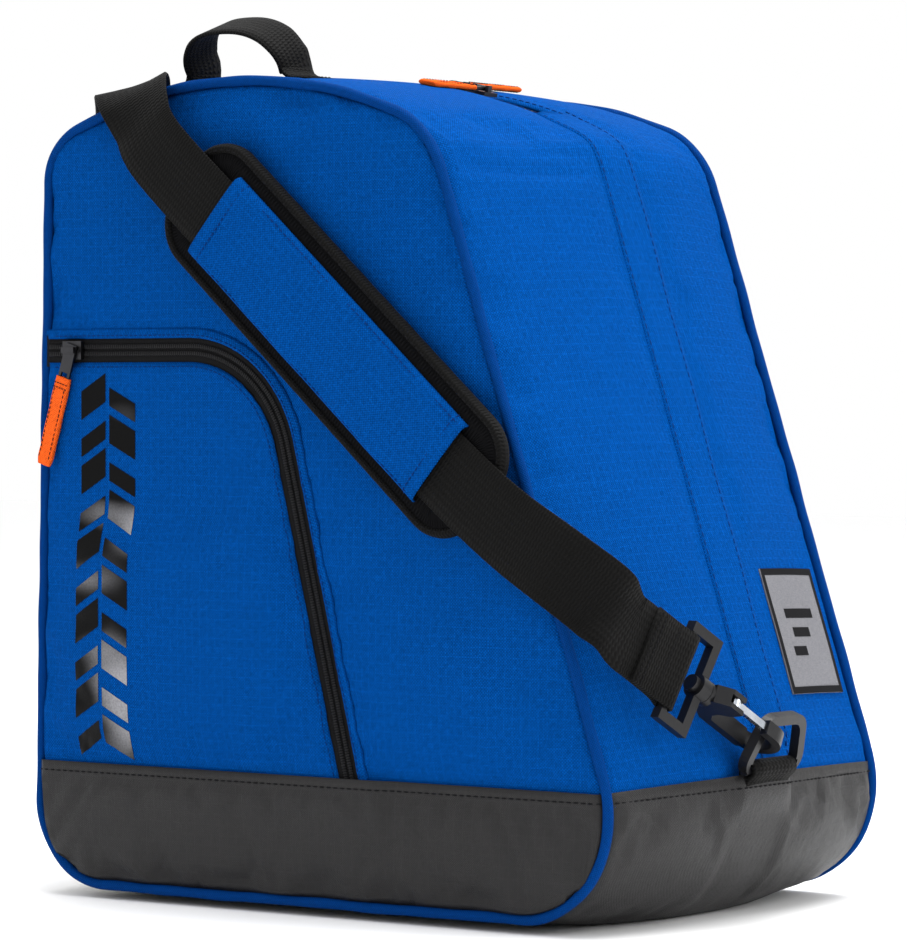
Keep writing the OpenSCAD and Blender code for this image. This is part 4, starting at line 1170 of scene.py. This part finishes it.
def tab_piece(name, node, centre, axes, half, body):
    """Folded tape: a long rounded slab with its fold at the far end, stitched near the link.

    axes are the directions of its length, width and thickness, and half its half sizes along them."""
    long_axis, flat_axis, thick_axis = axes
    half_l, half_w, half_t = half
    a = np.linspace(0, math.tau, 16, endpoint=False)
    ca, sa = np.cos(a), np.sin(a)
    rings = []
    for t in np.linspace(-1, 1, 26):
        w = half_w * (1 - 0.16 * smooth(0.8, 1.0, t) - 0.05 * smooth(-0.85, -1, t))
        th = half_t * (1 - 0.4 * smooth(0.9, 1.0, t)) * (1 + 0.12 * math.sin(9 * t))
        prof_w = np.sign(ca) * np.abs(ca) ** 0.35 * w
        prof_t = np.sign(sa) * np.abs(sa) ** 0.55 * th
        across = np.outer(prof_w, flat_axis) + np.outer(prof_t, thick_axis)
        rings.append(centre + long_axis * half_l * t + across)
    dress(skin(name, np.array(rings)), "orange_tape", body=body, replaces=[node])
    ends, sides = np.linspace(-half_w * 0.8, half_w * 0.8, 8), np.linspace(-half_l * 0.7, half_l * 0.8, 14)
    seams = [(f"stitch_{k}", np.outer(ends, flat_axis) + long_axis * half_l * at, (1.7, 1.2, 0.28), 0.05)
             for k, at in enumerate((-0.86, -0.76))]
    seams += [(f"edge_{k}", np.outer(sides, long_axis) + flat_axis * half_w * at, (2.4, 1.7, 0.26), 0.02)
              for k, at in enumerate((-0.72, 0.72))]
    for row, P, size, lift in seams:
        for face, f in (("a", -1), ("b", 1)):
            Q = centre + P + thick_axis * (half_t + lift) * f
            sew(f"{name}_{row}_{face}", Q, thick_axis * f, size, "orange_tape", THREAD_BLACK, body)


hang = math.radians(17)
down = np.array([-math.sin(hang), 0, -math.cos(hang)])
flat = np.array([math.cos(hang), 0, -math.sin(hang)])
pin = np.array([-148, FRONT - 5.6, ZIP_TOP])
axes = down, flat, AWAY
tab_piece("pocket_tab_tape", "pocket_pull_tab", pin + down * 36.5, axes, (22.5, 4.5, 1.6), "pull_pocket")
crown_c = corner(3)[0]
crown_r = RADII[3] + CROWN_SHARE * float(swell(ZIP_Y))
for side, deg, sign in (("right", 10.5, -1.0), ("left", 7.6, 1.0)):
    t = math.radians(deg)
    up = np.array([math.sin(t), 0, math.cos(t)])
    across = np.array([math.cos(t), 0, -math.sin(t)])
    back = np.array([0, sign, 0])
    centre = np.array([crown_c[0], ZIP_Y, crown_c[1]]) + up * (crown_r + 3.2) + back * 29
    names = f"main_tab_{side}_tape", f"main_pull_tab_{side}"
    tab_piece(*names, centre, (back, across, up), (17, 6, 1.4), f"pull_{side}")

# ---- CAD nodes that stay: softened edges and better finishes ----

PAIRS = {
    "main_slider": ("dark_metal", 0.5),
    "main_pull_link": ("dark_metal", 0.25),
    "ring": ("black_plastic", 1.0),
    "strap_loop": ("black_plastic", 0.9),
    "snap_hook": ("black_plastic", 0.9),
    "hook_gate": ("bright_steel", 0.5),
}
FINISH = {f"{name}_{side}": look for name, look in PAIRS.items() for side in ("right", "left")}
FINISH["base_board"] = "board", 0.3
FINISH["pocket_slider"] = "dark_metal", 0.6
FINISH["pocket_pull_link"] = "dark_metal", 0.3
FINISH["strap_adjuster"] = "black_plastic", 0.8
for node, (slot, bevel) in FINISH.items():
    obj = NODES[node]
    for k in range(len(obj.material_slots)):
        obj.material_slots[k].material = M[slot]
    m = obj.modifiers.new("edges", "BEVEL")
    m.width, m.segments, m.limit_method, m.angle_limit = bevel * 0.001, 3, "ANGLE", math.radians(38)
    m.use_clamp_overlap = True

# ---- Studio ----

scene = bpy.context.scene
white, nt, bsdf = material("studio_floor")
bsdf.inputs["Base Color"].default_value = (0.985, 0.985, 0.985, 1)
nt.links.new(span(nt, noise(nt, place_mm(nt), 0.01, 2), 0.66, 0.74), bsdf.inputs["Roughness"])
bpy.ops.mesh.primitive_plane_add(size=12, location=(0, 0, -0.0005))
floor = bpy.context.object
floor.name = "studio_floor"
floor.data.materials.append(white)

world = bpy.data.worlds.new("studio_world")
scene.world = world
world.use_nodes = True
world.node_tree.nodes["Background"].inputs[0].default_value = (1, 1, 1, 1)
world.node_tree.nodes["Background"].inputs[1].default_value = 1.0


def softbox(name, at, aim, size, power):
    light = bpy.data.lights.new(name, "AREA")
    light.shape, light.size, light.size_y, light.energy = "RECTANGLE", size[0], size[1], power
    obj = bpy.data.objects.new(name, light)
    scene.collection.objects.link(obj)
    obj.location = at
    obj.rotation_euler = (Vector(aim) - Vector(at)).to_track_quat("-Z", "Y").to_euler()


softbox("key_softbox", (2.1, 0.6, 1.1), (0, 0, 0.22), (1.2, 1.2), 17)
softbox("front_softbox", (-0.7, -2.2, 1.2), (0, 0, 0.2), (1.4, 1.4), 4)
softbox("top_softbox", (0.2, 0.2, 2.0), (0, 0, 0.3), (1.6, 1.6), 60)

cam = bpy.data.cameras.new("studio_camera")
cam.sensor_width, cam.lens = 36, 173.2
cam_obj = bpy.data.objects.new("studio_camera", cam)
scene.collection.objects.link(cam_obj)
cam_obj.location = (1.3344, -1.8218, 0.2488)
cam_obj.rotation_euler = Vector((-0.5918, 0.8058, -0.0183)).to_track_quat("-Z", "Y").to_euler()
scene.camera = cam_obj
scene.view_settings.view_transform = "Standard"
scene.view_settings.look = "None"

bpy.context.view_layer.update()
